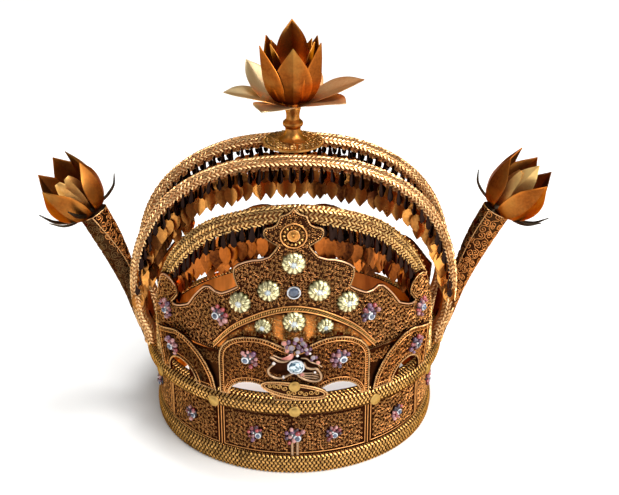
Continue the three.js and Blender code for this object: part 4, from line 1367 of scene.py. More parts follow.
def on_hoop(station, side, radius):
    """A place on the hoop's wall: side is across the band, radius is from the crown's axis."""
    x, z, nx, nz = station
    return on_wall(radius, math.degrees((x + side * nx) / HOOP_RADIUS), z + side * nz)


def on_arch(station, side, up, offset):
    """A place on a high arch: side is across the band, up is along its normal."""
    x, z, nx, nz = station
    return Vector((x + up * nx, offset + side, z + up * nz)) * MM


print(len(hoop_path), "stations on the hoop,", len(arch_path), "on an arch")

# %% Bands and plaits
HOOP_SECTION = [
    (-5.0, 92.6), (5.0, 92.6), (5.2, 93.2), (5.2, 95.2), (4.6, 95.9), (2.5, 96.4), (-2.5, 96.4), (-4.6, 95.9),
    (-5.2, 95.2), (-5.2, 93.2),
]
# Each row: across the band, radius, lean of the way out from the front towards the band's upper side.
HOOP_ROWS = [
    (-4.7, 96.0, -20),
    (-2.8, 96.5, -6),
    (-0.9, 96.7, 0),
    (1.1, 96.7, 0),
    (3.0, 96.5, 10),
    (4.7, 95.8, 42),
    (5.2, 94.0, 85),
]
ARCH_SECTION = {"half": 5.0, "rise": 4.1, "sides": 20}
# Degrees round the section, from the front over the top.
ARCH_ROWS = (-34, -9, 14, 37, 60, 83, 106, 129, 152, 175, 200)
PLAIT_BEAD = 1.75
PLAIT_PITCH = 2.9
PLAIT_SLANT = 32
GRAIN_PITCH = 6.3


def arch_round(angle, proud=0.0):
    """A place (side, up) on the arch's oval section and the way out there."""
    turn = math.radians(angle)
    half, rise = ARCH_SECTION["half"] + proud, ARCH_SECTION["rise"] + proud
    way = Vector((-math.cos(turn) / half, math.sin(turn) / rise)).normalized()
    return (-half * math.cos(turn), rise * math.sin(turn)), way


def arch_line(offset, angle, proud, slant=0.0, size=1.0):
    (side, up), way = arch_round(angle, proud)
    points = [on_arch(station, side, up, offset) for station in arch_path]
    outward = [Vector((nx * way.y, way.x, nz * way.y)).normalized() for _, _, nx, nz in arch_path]
    return line(points, outward, slant=slant, size=size)


def hoop_line(side, radius, lean, slant=0.0, size=1.0):
    turn = math.radians(lean)
    points, outward = [], []
    for station in hoop_path:
        x, _, nx, nz = station
        phi = math.degrees(x / HOOP_RADIUS)
        points.append(on_hoop(station, side, radius))
        outward.append(radial(phi) * math.cos(turn) + (sideways(phi) * nx + UP * nz) * math.sin(turn))
    return line(points, outward, slant=slant, size=size)


def band(name, rings, plaits, top_edge, finish, core_finish):
    core = new_object(name + "_band", mesh_of(name, *skin(rings), finish=core_finish, crease=40))
    finish_piece(core, "plaited_gold", name)
    plait = beads_on(name + "_plait", plaits, finish, grain_bead, PLAIT_PITCH, vary=0.6, jitter=0.7)
    finish_piece(plait, "plaited_gold", name)
    grains = beads_on(name + "_grains", [top_edge], wire_gold, round_grain, GRAIN_PITCH)
    finish_piece(grains, "plaited_gold", name)


def slants(rows):
    return [(row, PLAIT_SLANT if i % 2 else -PLAIT_SLANT) for i, row in enumerate(rows)]


band(
    "front_hoop",
    [[on_hoop(station, side, radius) for side, radius in HOOP_SECTION] for station in hoop_path],
    [hoop_line(*row, slant, PLAIT_BEAD) for row, slant in slants(HOOP_ROWS)],
    hoop_line(5.6, 95.6, 60, size=0.8),
    band_gold,
    core_gold,
)
ARCH_TURNS = [360 * i / ARCH_SECTION["sides"] for i in range(ARCH_SECTION["sides"])]
for word, offset in (("front", -ARCH_OFFSET), ("rear", ARCH_OFFSET)):
    band(
        f"high_arch_{word}",
        [[on_arch(station, *arch_round(turn)[0], offset) for turn in ARCH_TURNS] for station in arch_path],
        [arch_line(offset, angle, 0.35, slant, PLAIT_BEAD) for angle, slant in slants(ARCH_ROWS)],
        arch_line(offset, 90, 0.6, size=0.7),
        arch_gold,
        arch_core,
    )

# %% [markdown]
# ## Leaf drops
# Rows of small leaves hang from dark, narrow links under the bands and tremble when the crown moves. Leaf and
# link are each one beaten shape, so they are instanced along the bands. A seeded random number turns each
# leaf, and the tree gives each its own tone, from dark copper to bright gold.

# %% Leaf and link
LEAF = {"length": 12.3, "half": 4.0}
LINK = {"length": 10.2, "half": 1.9, "hang": 9.2}
LEAF_OUTLINE = [(0, 0.35), (0.08, 0.78), (0.3, 1.0), (0.58, 0.9), (0.8, 0.5), (1.0, 0.03)]
LINK_OUTLINE = [(0, 0.4), (0.2, 0.5), (0.45, 0.75), (0.7, 1.0), (0.88, 0.75), (1.0, 0.1)]
LEAF_ACROSS = (-1, -0.5, 0, 0.5, 1)
LEAF_SKIN = 0.16


def leaf_shape(length, half_width, outline):
    """One tongue-shaped leaf that hangs along X, beaten hollow along its middle."""
    points = []
    for face_side in (LEAF_SKIN, -LEAF_SKIN):
        for share, width in outline:
            for across in LEAF_ACROSS:
                hollow = 0.25 * half_width * across**2 * width + 0.9 * share**2
                points.append((length * share, across * width * half_width, hollow + face_side))
    return points, sheet_faces(len(outline), len(LEAF_ACROSS))


leaf = pattern("leaf", *leaf_shape(LEAF["length"], LEAF["half"], LEAF_OUTLINE), crease=70)
link = pattern("link", *leaf_shape(LINK["length"], LINK["half"], LINK_OUTLINE), crease=70)
print("leaf and link have", len(leaf.data.polygons), "and", len(link.data.polygons), "faces")

# %% Rows of drops
dice = random.Random(7)
LEAF_PITCH = 6.4
SWAY, LEAN = (0.08, 0.03), 0.13  # how far a drop hangs out of plumb


def evenly(points, pitch, shift):
    """Places along a polyline at an even pitch; shift moves them by a share of it."""
    lengths = [(b - a).length for a, b in zip(points, points[1:])]
    count = int(sum(lengths) / pitch) - 1
    result, walked, index = [], 0.0, 0
    for i in range(count + 1):
        want = sum(lengths) * (i + shift) / (count + 1)
        while index < len(lengths) - 1 and walked + lengths[index] < want:
            walked += lengths[index]
            index += 1
        result.append(points[index].lerp(points[index + 1], (want - walked) / lengths[index]))
    return result


def drops(edge, shift, heights, face, lean, spread, reach):
    """Spots for links and for leaves along an edge; face gives the way that they look and lean."""
    link_spots, leaf_spots = [], []
    for point in evenly(edge, LEAF_PITCH * MM, shift):
        if not heights[0] * MM < point.z < heights[1] * MM:
            continue
        turn = Matrix.Rotation(math.radians(dice.uniform(-spread, spread)), 3, "Z")
        sway = Vector((*(dice.uniform(-most, most) for most in SWAY), -1))
        sway = (sway + face(point) * lean * LEAN).normalized()
        for start in sorted({0.0, max(0.0, reach - LINK["hang"])}):
            link_face = (turn.inverted() @ face(point)).normalized()
            link_spots.append((point + sway * start * MM, link_face, sway, dice.uniform(0.85, 1.05)))
        foot = point + sway * reach * MM
        leaf_spots.append((foot, (turn @ face(point)).normalized(), sway, dice.uniform(0.95, 1.05)))
    return link_spots, leaf_spots


def hang(name, rows, node, finish):
    link_spots = [spot for row in rows for spot in row[0]]
    leaf_spots = [spot for row in rows for spot in row[1]]
    finish_piece(ornaments(name + "_links", link_spots, link_gold, link), "leaf_gold", node)
    finish_piece(ornaments(name + "_leaves", leaf_spots, finish, leaf), "leaf_gold", node)


def from_axis(point):
    return Vector((*point.xy, 0)).normalized()


def to_front(_):
    return Vector((0, -1, 0))


# Each row: radius, shift, lean outwards, heights, reach. Two rows of drops, one close up behind them
# and a long one.
HOOP_DROPS = [
    (96.4, 0.25, -1, (100, 200), LINK["hang"]),
    (93.2, 0.75, 0.4, (100, 200), LINK["hang"]),
    (92.4, 0.4, -0.3, (122, 200), 2.0),
    (92.0, 0.9, -0.3, (157, 200), 15.0),
]
HOOP_EDGE = -4.4
HOOP_SPREAD, ARCH_SPREAD = 22, 30  # degrees that a leaf may turn
hoop_rows = []
for radius, shift, lean, heights, reach in HOOP_DROPS:
    edge = [on_hoop(station, HOOP_EDGE, radius) for station in hoop_path]
    hoop_rows.append(drops(edge, shift, heights, from_axis, lean, HOOP_SPREAD, reach))
hang("hoop", hoop_rows, "fringe_hoop", inner_leaf_gold)
# Each row: side of the band, shift, heights, reach, rightmost. A row along each edge, and long drops
# by the left leg.
ARCH_DROPS = [
    (-5.6, 0.25, (100, 200), LINK["hang"], 110),
    (5.6, 0.75, (100, 200), LINK["hang"], 110),
    (-2.0, 0.1, (106, 168), 20.0, 0),
    (2.0, 0.6, (104, 162), 15.0, 0),
]
CLOSE_ROW = (1.0, 0.5, (130, 200), 2.0, 110)  # close up under the front arch, behind its links
for word, offset in (("front", -ARCH_OFFSET), ("rear", ARCH_OFFSET)):
    arch_rows = []
    for side, shift, heights, reach, rightmost in ARCH_DROPS + [CLOSE_ROW] * (word == "front"):
        edge = [on_arch(station, side, -1.0, offset) for station in arch_path if station[0] < rightmost]
        lean = math.copysign(1, side)
        arch_rows.append(drops(edge, shift, heights, to_front, lean, ARCH_SPREAD, reach))
    hang(f"arch_{word}", arch_rows, f"fringe_{word}", leaf_gold)

# %% [markdown]
# ## Petals of sheet gold
# The lotus and the two buds are petals cut from sheet and folded along their middle. Each is a grid that
# follows rows of distance, height, half width and fold, with a little thickness. Each point stores how near
# it is to the edge, where the colour is brighter, with painted shade towards the fold, and to the tip,
# where it has gone olive.

# %% Petal maker
PETAL_ACROSS = 12
PETAL_SKIN = 0.35
PETAL_RIPPLE = 0.02  # share of its half width
UNLIKE = {"tilt": 4, "turn": 4, "size": 0.03}  # how far two petals may differ: degrees and a share


def petal(rows, tilt=0.0, stretch=1.0):
    """Points, faces and marks of one petal that grows from the crown's axis towards +X."""
    path = smooth_rows(rows, steps=5)
    pivot = Vector((path[0][0], 0, path[0][1]))
    points, painted_shades, tips = [], [], []
    for skin_side in (PETAL_SKIN, -PETAL_SKIN):
        for i, (r, z, half, fold) in enumerate(path):
            before, after = path[max(i - 1, 0)], path[min(i + 1, len(path) - 1)]
            ahead = Vector((after[0] - before[0], after[1] - before[1])).normalized()
            share = i / (len(path) - 1)
            lean = Matrix.Rotation(-tilt * share, 3, "Y")
            for j in range(PETAL_ACROSS + 1):
                across = 2 * j / PETAL_ACROSS - 1
                ripple = PETAL_RIPPLE * half * math.sin(7 * share + 4 * across)
                bend = fold * abs(across) + skin_side * (1 - 0.6 * across**8) + ripple
                point = Vector((r - bend * ahead.y, across * max(half, 0.1), z + bend * ahead.x))
                points.append(lean @ ((point - pivot) * stretch) + pivot)
                edge = max(abs(across) ** 10, share**16)
                painted_shades.append(0.45 + 0.55 * edge + 0.1 * abs(across))
                tips.append(0.1 + 0.7 * share)
    return points, sheet_faces(len(path), PETAL_ACROSS + 1), painted_shades, tips


def whorl(name, tiers, stand, finish, seed, unlike=1.0):
    """Petals round an axis; a tier is rows of numbers and the angles of its petals."""
    chance = random.Random(seed)
    points, faces, painted_shades, tips = [], [], [], []
    for rows, angles in tiers:
        for angle in angles:
            tilt, swing, growth = (chance.uniform(-most, most) * unlike for most in UNLIKE.values())
            turn = Matrix.Rotation(math.radians(angle + swing), 4, "Z")
            more, more_faces, more_painted_shades, more_tips = petal(rows, math.radians(tilt), 1 + growth)
            first = len(points)
            points += [stand @ turn @ point * MM for point in more]
            faces += [tuple(first + i for i in face) for face in more_faces]
            painted_shades += more_painted_shades
            tips += more_tips
    mesh = mesh_of(name, points, faces, finish=finish, crease=24, marks={"lift": painted_shades, "tip": tips})
    return new_object(name, mesh)


print("a petal has", len(petal([(4, 0, 1, 0), (9, 5, 5, 1), (12, 12, 0.3, 0)])[1]), "faces")

# %% Lotus
LEAF_ROOT = (5, 213.6)
# Each section: share of the length, half width, fold.
LEAF_SECTIONS = [(0, 4.6, 0.5), (0.27, 10.8, 1.4), (0.58, 13.6, 2.2), (0.82, 9.6, 1.6), (1, 0.3, 0)]
LOTUS_LEAVES = [  # angle, reach, height of the tip, bend
    (182, 43.5, 223, 0.6), (6, 45.5, 229, 0.8), (-30, 38, 221, 0.6), (238, 36, 219.5, 0.6),
    (146, 36, 238, 1.8), (72, 36, 234, 1.8),
]
LOTUS_PETAL = [
    (4.6, 215.6, 4.4, 0.8),
    (12.6, 219, 9, 3),
    (18.6, 228.5, 11.8, 5.4),
    (20.6, 240.5, 9.4, 4.4),
    (21.2, 255.5, 0.3, 0),
]
HEART_BACK = [
    (2.5, 225, 2, 0.4), (7, 231, 7.5, 4.6), (10.5, 242, 11.4, 8.6), (10, 252, 10, 7.6), (8.6, 260.8, 6.6, 5),
    (6.5, 267.6, 0.3, 0),
]
HEART_SIDE = [
    (2.5, 225, 1.6, 0.3), (7, 230.5, 4.4, 1.8), (11, 239, 6.4, 3), (13, 248, 5.2, 2.2), (14, 255, 0.3, 0)
]
upright = Matrix.Identity(4)
leaf_tiers = []
for angle, reach, tip, bend in LOTUS_LEAVES:
    rows = []
    for share, half, fold in LEAF_SECTIONS:
        r = LEAF_ROOT[0] + (reach - LEAF_ROOT[0]) * share
        rows.append((r, LEAF_ROOT[1] + (tip - LEAF_ROOT[1]) * share**bend, half, fold))
    leaf_tiers.append((rows, [angle]))
outer_leaves = whorl("lotus_outer_leaves", leaf_tiers, upright, sheet_gold, seed=3, unlike=0.0)
finish_piece(outer_leaves, "sheet_gold", "lotus_leaves")
cup_tier = [(LOTUS_PETAL, [-90, -30, -150, 38, 142])]
lotus_cup = whorl("lotus_cup", cup_tier, upright, petal_gold, seed=5, unlike=0.6)
finish_piece(lotus_cup, "sheet_gold", "lotus_petals")
heart_tiers = [(HEART_BACK, [90]), (HEART_SIDE, [-4, 26, 162, 196])]
lotus_inner = whorl("lotus_inner", heart_tiers, upright, inner_gold_painted_light, seed=8, unlike=0.3)
finish_piece(lotus_inner, "sheet_gold", "lotus_heart")

# %% Finial plate and stem
STEM_PROFILE = [
    (0, 191.1), (8.8, 191.1), (8.7, 191.7), (7.3, 192.5), (6.1, 193.8), (5.4, 195.6), (5.0, 197.6),
    (4.9, 199.1), (5.5, 200), (6.4, 201), (6.6, 202.1), (6.4, 203.1), (5.2, 204.2), (4.4, 205.1), (4.2, 207),
    (4.6, 210), (5.2, 212.4), (5.2, 214), (4, 217.6), (3.6, 220), (2.8, 225), (2, 228), (0, 228.6),
]
stem = turned("finial_stem_turned", STEM_PROFILE, sides=48, finish=polished_gold)
finish_piece(stem, "sheet_gold", "finial_stem")
PLATE_PROFILE = [
    (0, 188.6), (18.6, 188.6), (19.5, 189.2), (19.4, 190.2), (18.4, 190.6), (11, 190.9), (0, 190.9)
]
disc = turned("finial_disc", PLATE_PROFILE, sides=64, finish=disc_gold_painted_light)
finish_piece(disc, "filigree_gold", "finial_plate")
DISC_RINGS = [(10.4, 13, 0.75), (13.4, 18, 0.85), (16.7, 23, 0.85)]  # radius, scrolls, size
DISC_TOP = 190.6
disc_spots = []
for ring_radius, count, size in DISC_RINGS:
    for i in range(count):
        phi = 360 * i / count
        disc_spots.append((on_wall(ring_radius, phi, DISC_TOP), UP, sideways(phi + 30), size))
finish_piece(tracery("finial_scrolls", disc_spots, band_gold), "filigree_gold", "finial_plate")
rim_grains = [circle_line(18.9, 190.4, tilt=60, size=0.7)]
finial_rim = beads_on("finial_rim", rim_grains, plait_gold, round_grain, pitch=1.6)
finish_piece(finial_rim, "filigree_gold", "finial_plate")

# %% [markdown]
# ## Horns and buds
# At each side a tapering tube bends outwards and holds a half-open lotus. The tube is a skin over rings along
# the bend with a sharp fold down its length, as if it were bent up from sheet. Wires bent to scrolls follow
# it, larger towards the mouth and painted with shade on one side of the fold, and a plain wire runs along the
# fold. The dark tube is partly painted shade.

# %% Horns
HORN_ROWS = [
    (102, 46, 0.9), (103.8, 58, 2.7), (106.6, 70, 3.9), (110.4, 85, 5), (116.6, 104, 7), (124.8, 123, 8.6),
    (134.2, 141, 9.2),
]
HORN_SIDES = 36
# Degrees round the tube at its tail and its mouth; the front is at -90.
HORN_FOLDS = {"right": (-150, -132), "left": (-215, -96)}
FOLD_WIDTH, FOLD_RISE = 34, 0.14
# How far past the fold the scrolls get painted shade.
PAINTED_SHADE_SIDE = 150  # degrees
HORN_WIRE = 0.36
HORN_BARE = {"tail": 9, "mouth": 4.6}  # lengths without scrolls
CURL = {"least": 0.9, "growth": 0.2, "across": 1.8, "along": 2.8, "shift": 0.37}
ARMS = [("right", 1, 0.985), ("left", -1, 0.91)]


def horn_frames(side, reach, steps):
    """Rows of (middle, way ahead, way out, angle of the fold, radius) along one horn, in millimetres."""
    tail_fold, mouth_fold = HORN_FOLDS["right" if side > 0 else "left"]
    tail = HORN_ROWS[0][0]
    path = smooth_rows([(side * (tail + reach * (x - tail)), z, radius) for x, z, radius in HORN_ROWS], steps)
    frames = []
    across = Vector((0, side, 0))
    for i, (x, z, radius) in enumerate(path):
        before, after = path[max(i - 1, 0)], path[min(i + 1, len(path) - 1)]
        ahead = Vector((after[0] - before[0], 0, after[1] - before[1])).normalized()
        fold = tail_fold + (mouth_fold - tail_fold) * i / (len(path) - 1)
        frames.append((Vector((x, 0, z)), ahead, across.cross(ahead), fold, radius))
    return frames


def on_horn(frame_row, angle, proud=0.0):
    """A place on the tube's skin and the way out there; the angle is in degrees."""
    middle, _, out, fold, radius = frame_row
    way = out * math.cos(math.radians(angle)) + Vector((0, 1, 0)) * math.sin(math.radians(angle))
    near = abs((angle - fold + 180) % 360 - 180)
    swell = 1 + FOLD_RISE * max(0.0, 1 - near / FOLD_WIDTH)
    return (middle + way * (radius * swell + proud)) * MM, way


def horn_lines(side, reach):
    """S-scrolls of wire that follow the tube: those on its lit side, and those on the side given painted
    shade.
    """
    frames = horn_frames(side, reach, steps=24)
    walks = [0.0]
    for a, b in zip(frames, frames[1:]):
        walks.append(walks[-1] + (b[0] - a[0]).length)
    bright, dark = [], []
    along, row = walks[-1] - HORN_BARE["mouth"], 0
    while along > HORN_BARE["tail"]:
        radius = frames[bisect.bisect(walks, along)][4]
        curl = CURL["least"] + CURL["growth"] * radius
        count = max(3, round(math.tau * radius / (CURL["across"] * curl)))
        for i in range(count):
            angle = 360 * (i + CURL["shift"] * row + dice.uniform(-0.2, 0.2)) / count
            size, shift = curl * dice.uniform(0.8, 1.15), curl * dice.uniform(-0.6, 0.6)
            places = []
            for x, y in scroll_path(size, turns=1.6, steps=14, closing=0.8):
                frame_row = frames[max(0, min(bisect.bisect(walks, along + shift + x), len(frames) - 1))]
                hand = y if (i + row) % 2 else -y
                places.append(on_horn(frame_row, angle + math.degrees(hand / frame_row[4]), 0.1))
            past_fold = ((angle - frame_row[3] + 180) % 360 - 180) * -side
            (dark if 0 < past_fold < PAINTED_SHADE_SIDE else bright).append(line_through(places))
        along -= CURL["along"] * curl
        row += 1
    return bright, dark


for word, side, reach in ARMS:
    frames = horn_frames(side, reach, steps=6)
    rings = [[on_horn(row, 360 * i / HORN_SIDES)[0] for i in range(HORN_SIDES)] for row in frames]
    tube_mesh = mesh_of("horn", *skin(rings), finish=horn_gold, crease=28)
    node = f"horn_{word}"
    finish_piece(new_object(f"horn_{word}_tube", tube_mesh), "filigree_gold", node)
    bright, dark = horn_lines(side, reach)
    # Scrolls past the fold get shade_gold, painted shade; the crest gold also paints shade on the left horn.
    for name, curls, finish in (("scrolls", bright, crest_gold), ("dark_scrolls", dark, shade_gold)):
        curled = wires(f"horn_{word}_{name}", curls, finish, HORN_WIRE, sides=4, step=0.9)
        finish_piece(curled, "filigree_gold", node)
    mouth = [on_horn(frames[-1], angle, 0.1) for angle in range(0, 360, 15)]
    ridges = [line_through([on_horn(row, row[3]) for row in frames]), line_through(mouth, closed=True)]
    finish_piece(wires(f"horn_{word}_ridges", ridges, edge_gold, radius=0.45), "filigree_gold", node)

# %% Buds and sepals
BUD_OUTER = [(4.5, 0, 4.4, 1), (13, 3, 9.6, 3.6), (18, 14.5, 12.6, 5), (18, 28.5, 9.8, 3.8), (15, 41, 0.3, 0)]
BUD_FRONT = [
    (4.5, 0, 5, 1), (13.5, 2.6, 10.5, 3.4), (19.5, 12, 13.4, 4.6), (21, 23.5, 10.8, 3.6), (19, 35.5, 0.3, 0)
]
BUD_SHORT = [
    (4.5, 0, 4.6, 1), (13, 3, 9.8, 3.6), (18.6, 12.5, 12.2, 5), (20, 23, 9.6, 3.8), (18.6, 33, 0.3, 0)
]
BUD_INNER = [(3, 4, 2.6, 0.6), (7.4, 11, 6.6, 3), (10.4, 22, 8.4, 4.6), (10.4, 32, 6.2, 3), (9, 42, 0.3, 0)]
BUD_BLUNT = [(3, 4, 2.6, 0.6), (8, 10, 5.2, 2.6), (10.6, 18, 6, 3.2), (11, 25, 5, 2.6), (10, 30.5, 2.2, 0.5)]
BUD_HEARTS = {
    "right": [(BUD_INNER, (-112,)), (BUD_BLUNT, (-150,))],
    "left": [(BUD_BLUNT, (-128, -84))],
}
BUD_SEPAL = [(6, 2, 2, 0.6), (15, 3.6, 2.4, 1.3), (22.5, 8.4, 1.9, 1), (27.5, 16.6, 0.3, 0)]
SEPAL_LOW = [(6, 2, 2, 0.6), (15, 2.6, 2.4, 1.3), (23.5, 6, 1.9, 1), (29, 12.5, 0.3, 0)]
SEPAL_HIGH = [(6, 2, 2, 0.6), (16, 3, 2.4, 1.3), (25, 9.6, 1.9, 1), (29, 20, 0.3, 0)]
# The gap between the petals looks at the front.
BUD_TIERS = [(BUD_OUTER, (-214, -272, -330)), (BUD_SHORT, (-166,)), (BUD_FRONT, (-68,))]
CALYX = [(0, -2), (8.2, -2), (8.6, -0.6), (7.6, 0.6), (5.4, 1.8), (4.2, 4), (0, 4)]
BUD_BEND = math.radians(13)
for word, side, reach in ARMS:
    (x_a, z_a, _), (x_b, z_b, _) = HORN_ROWS[-2:]
    lean = math.atan2(reach * (x_b - x_a), z_b - z_a) + BUD_BEND
    mouth = horn_frames(side, reach, steps=1)[-1][0]
    turn = Matrix.Rotation(0 if side > 0 else math.pi, 4, "Z") @ Matrix.Rotation(lean, 4, "Y")
    stand = Matrix.Translation(mouth) @ turn
    for name, tiers, finish, seed in (
        ("petals", BUD_TIERS, petal_gold, 20),
        ("heart", BUD_HEARTS[word], heart_gold_painted_light, 25),
    ):
        turned_tiers = [(rows, [side * angle for angle in angles]) for rows, angles in tiers]
        flower = whorl(f"bud_{word}_{name}", turned_tiers, stand, finish, seed + side, unlike=0.8)
        finish_piece(flower, "sheet_gold", f"bud_{word}")
    thin = [(SEPAL_HIGH, [0]), (SEPAL_LOW, [180]), (BUD_SEPAL, [-40 * side, 90])]
    sepals = whorl(f"bud_{word}_sepals", thin, stand, sepal_gold, seed=30 + side)
    finish_piece(sepals, "sheet_gold", f"sepals_{word}")
    calyx = turned(f"bud_{word}_calyx", CALYX, sides=28, finish=sepal_gold)
    calyx.data.transform(Matrix.Translation(mouth * MM) @ turn)
    finish_piece(calyx, "sheet_gold", f"sepals_{word}")

# %% [markdown]
# ## Rosettes and stones
# Pale gold flower heads and clusters of coloured stones are set all over the front. A flower head is three
# rings of spoon petals heaped round a clear stone. A cluster is a dark stone in a silver setting, off its
# middle, with a heap of small round stones beside it; no two are the same, because each was set by hand from
# what stones there were.

# %% Patterns of the settings
# A cupped petal that reaches along X and slopes down to its tip: place, half width, height, thickness.
SPOON_ROWS = [(0.1, 0.06, 0.3, 0.05), (0.45, 0.16, 0.32, 0.12), (0.8, 0.26, 0.2, 0.18), (1, 0.17, 0, 0.1)]
GEM_CUT = [(0.97, 0, 0), (1, 0.25, 0), (0.82, 0.5, 0.5), (0.5, 0.66, 0)]  # radius, height, turn
COLLET_ROWS = [(0.8, 0), (1.14, 0.5), (1.14, 0.72), (0.94, 0.76), (0.9, 0.4)]
GEM_SIDES, COLLET_SIDES = 8, 10
spoon_rings = []
for x, half, low, thick in SPOON_ROWS:
    spoon_rings.append([(x, -half, low), (x, 0, low + thick), (x, half, low), (x, 0, low - thick)])
gem_rings = [circle(radius, z, GEM_SIDES, turn) for radius, z, turn in GEM_CUT]
gem = pattern("gem", *skin(gem_rings), smooth=False)
spoon_petal = pattern("spoon", *skin(spoon_rings))
collet = pattern("collet", *skin([circle(radius, z, COLLET_SIDES) for radius, z in COLLET_ROWS]))
bead = pattern("bead", *spindle([(-1, 0.2), (-0.7, 0.72), (0, 1), (0.7, 0.72), (1, 0.2)], 8))
print("settings:", [obj.name for obj in patterns[-4:]])

# %% Gold rosettes
GOLD_ROSETTES = [
    (0, 151, 7.2), (-8.5, 132.7, 7.0), (8.5, 132.7, 7.0), (-18.7, 123, 7.0), (18.7, 123, 7.0),
    (0, 112.4, 7.2), (-10.7, 108.6, 5.3), (10.7, 108.6, 5.3),
]
HEAD_RINGS = [(11, 1.0, 0.1, 0), (9, 0.78, 0.9, 0.5), (7, 0.54, 1.7, 0)]  # petals, reach, rise, shift
HEAD_CUP, HEAD_STONE = {"rise": 2.0, "size": 0.25}, {"rise": 2.5, "size": 0.23}
COLLET_STONE = (0, 133, 4.2)
COLLET_SIZES = {"cup": 0.88, "cut": 0.78}  # shares of its radius


def ring_directions(outward, count, shift=0.0):
    """Directions all round an axis."""
    side = outward.cross(UP).normalized()
    up = side.cross(outward)
    turns = [math.tau * (i + shift) / count for i in range(count)]
    return [side * math.cos(turn) + up * math.sin(turn) for turn in turns]


petal_spots, cup_spots, clear_spots = [], [], []
for phi, z, radius in GOLD_ROSETTES:
    out = radial(phi)
    seat = on_wall(DIADEM_FACE + 0.3, phi, z)
    for count, reach, rise, shift in HEAD_RINGS:
        for way in ring_directions(out, count, shift):
            petal_spots.append((seat + out * rise * MM, out, way, radius * reach))
    for spots, setting in ((cup_spots, HEAD_CUP), (clear_spots, HEAD_STONE)):
        spots.append((seat + out * setting["rise"] * MM, out, UP, setting["size"] * radius))
phi, z, radius = COLLET_STONE
cup_spots.append((on_wall(DIADEM_FACE + 0.3, phi, z), radial(phi), UP, radius * COLLET_SIZES["cup"]))
GOLD_NODES = [f"gold_rosette_{i + 1}" for i in range(len(GOLD_ROSETTES))]
finish_piece(ornaments("gold_rosette_petals", petal_spots, pale_gold, spoon_petal), "pale_gold", *GOLD_NODES)
gold_collets = ornaments("gold_rosette_collets", cup_spots, silver, collet)
finish_piece(gold_collets, "pale_gold", *GOLD_NODES, "collet_stone")
finish_piece(ornaments("clear_stones", clear_spots, clear_stone, gem), "jewelled_gold", *GOLD_NODES)
cut_spot = [(on_wall(DIADEM_FACE + 0.8, phi, z), radial(phi), UP, radius * COLLET_SIZES["cut"])]
finish_piece(ornaments("collet_stone_cut", cut_spot, blue_stone, gem), "jewelled_gold", "collet_stone")

# %% Gem rosettes: where they sit


def crest_out(phi):
    return (radial(phi) - UP * CREST_LEAN).normalized()


GEM_ROWS = []  # node, angle, height, radius, wall radius, way out
for word, side in (("left", -1), ("right", 1)):
    for name, phi, z, radius in (("diadem_end", 52.7, 102, 6.8), ("diadem_wing", 26.9, 112.4, 6.8)):
        GEM_ROWS.append((f"{name}_{word}", side * phi, z, radius, DIADEM_FACE, radial(side * phi)))
    for name, phi, z, radius in (("crest_front", 15.5, 88, 6.8), ("crest_side", 48, 80, 6.6)):
        GEM_ROWS.append((f"{name}_{word}", side * phi, z, radius, crest_face(z), crest_out(side * phi)))
circlet_rows = [(f"circlet_{i + 1}", PANEL_SPAN * (i + 0.5), 5.8) for i in range(12)]
for name, phi, radius in [*circlet_rows, ("circlet_front", 0, 7)]:
    GEM_ROWS.append((name, phi, PANEL_ROSETTE["z"], radius, WALL["outer"], radial(phi)))
GEM_NODES = [f"gem_rosette_{row[0]}" for row in GEM_ROWS]
print(len(GEM_ROWS), "clusters")

# %% Gem rosettes: stones and settings
chance = random.Random(41)
base_spots, cup_spots, dark_spots = [], [], []
bead_spots = {"red": [], "pink": [], "purple": [], "painted_glint": []}
CLUSTER = {"off": 0.3, "base": 0.6, "cup": 0.36, "dark": 0.24, "painted_glint": 0.09}  # shares of its radius
CLUSTER_RISE = {"cup": 1.4, "dark": 1.9, "painted_glint": 2.4}
CLUSTER_RINGS = [(0.8, 9), (0.44, 5)]  # share of the radius, stones
LOW_SIDES = {"left": 0.875, "right": 0.625}  # where the dark stone sits, in turns
MIXTURES = {"dark": ("red", "red", "purple", "pink"), "light": ("pink", "pink", "red", "purple")}
for name, phi, z, radius, wall, out in GEM_ROWS:
    mixture = MIXTURES["light" if name.startswith("crest_front") or name == "circlet_front" else "dark"]
    seat = on_wall(wall + 0.3, phi, z)
    low_side = LOW_SIDES["left" if phi < 0 else "right"]
    off = ring_directions(out, 1, low_side + chance.uniform(-0.06, 0.06))[0]
    middle = seat + off * CLUSTER["off"] * radius * MM
    base_spots.append((seat, out, UP, CLUSTER["base"] * radius))
    cup_spots.append((middle + out * CLUSTER_RISE["cup"] * MM, out, UP, CLUSTER["cup"] * radius))
    dark_spots.append((middle + out * CLUSTER_RISE["dark"] * MM, out, off, CLUSTER["dark"] * radius))
    for reach, count in CLUSTER_RINGS:
        for way in ring_directions(out, count, chance.random()):
            if way.dot(off) > 0.6:
                continue
            size = radius * chance.uniform(0.16, 0.27)
            outwards = way * radius * reach * chance.uniform(0.88, 1.1)
            spot = seat + (outwards + out * chance.uniform(0.9, 1.8)) * MM
            bead_spots[chance.choice(mixture)].append((spot, out, way, size))
    # A tiny white bead on each cluster is a painted glint.
    painted_glint = seat + (out * CLUSTER_RISE["painted_glint"] - off * CLUSTER["off"] * radius) * MM
    bead_spots["painted_glint"].append((painted_glint, out, UP, CLUSTER["painted_glint"] * radius))
CLUSTER_SETS = [
    ("gem_bases", base_spots, dark_silver, dome),
    ("gem_cups", cup_spots, silver, dome),
    ("gem_dark_stones", dark_spots, blue_stone, gem),
    ("gem_red_stones", bead_spots["red"], red_stone, bead),
    ("gem_pink_stones", bead_spots["pink"], pink_stone, bead),
    ("gem_purple_stones", bead_spots["purple"], purple_stone, bead),
    ("gem_pearls", bead_spots["painted_glint"], pearl_and_glint_stone, bead),
]
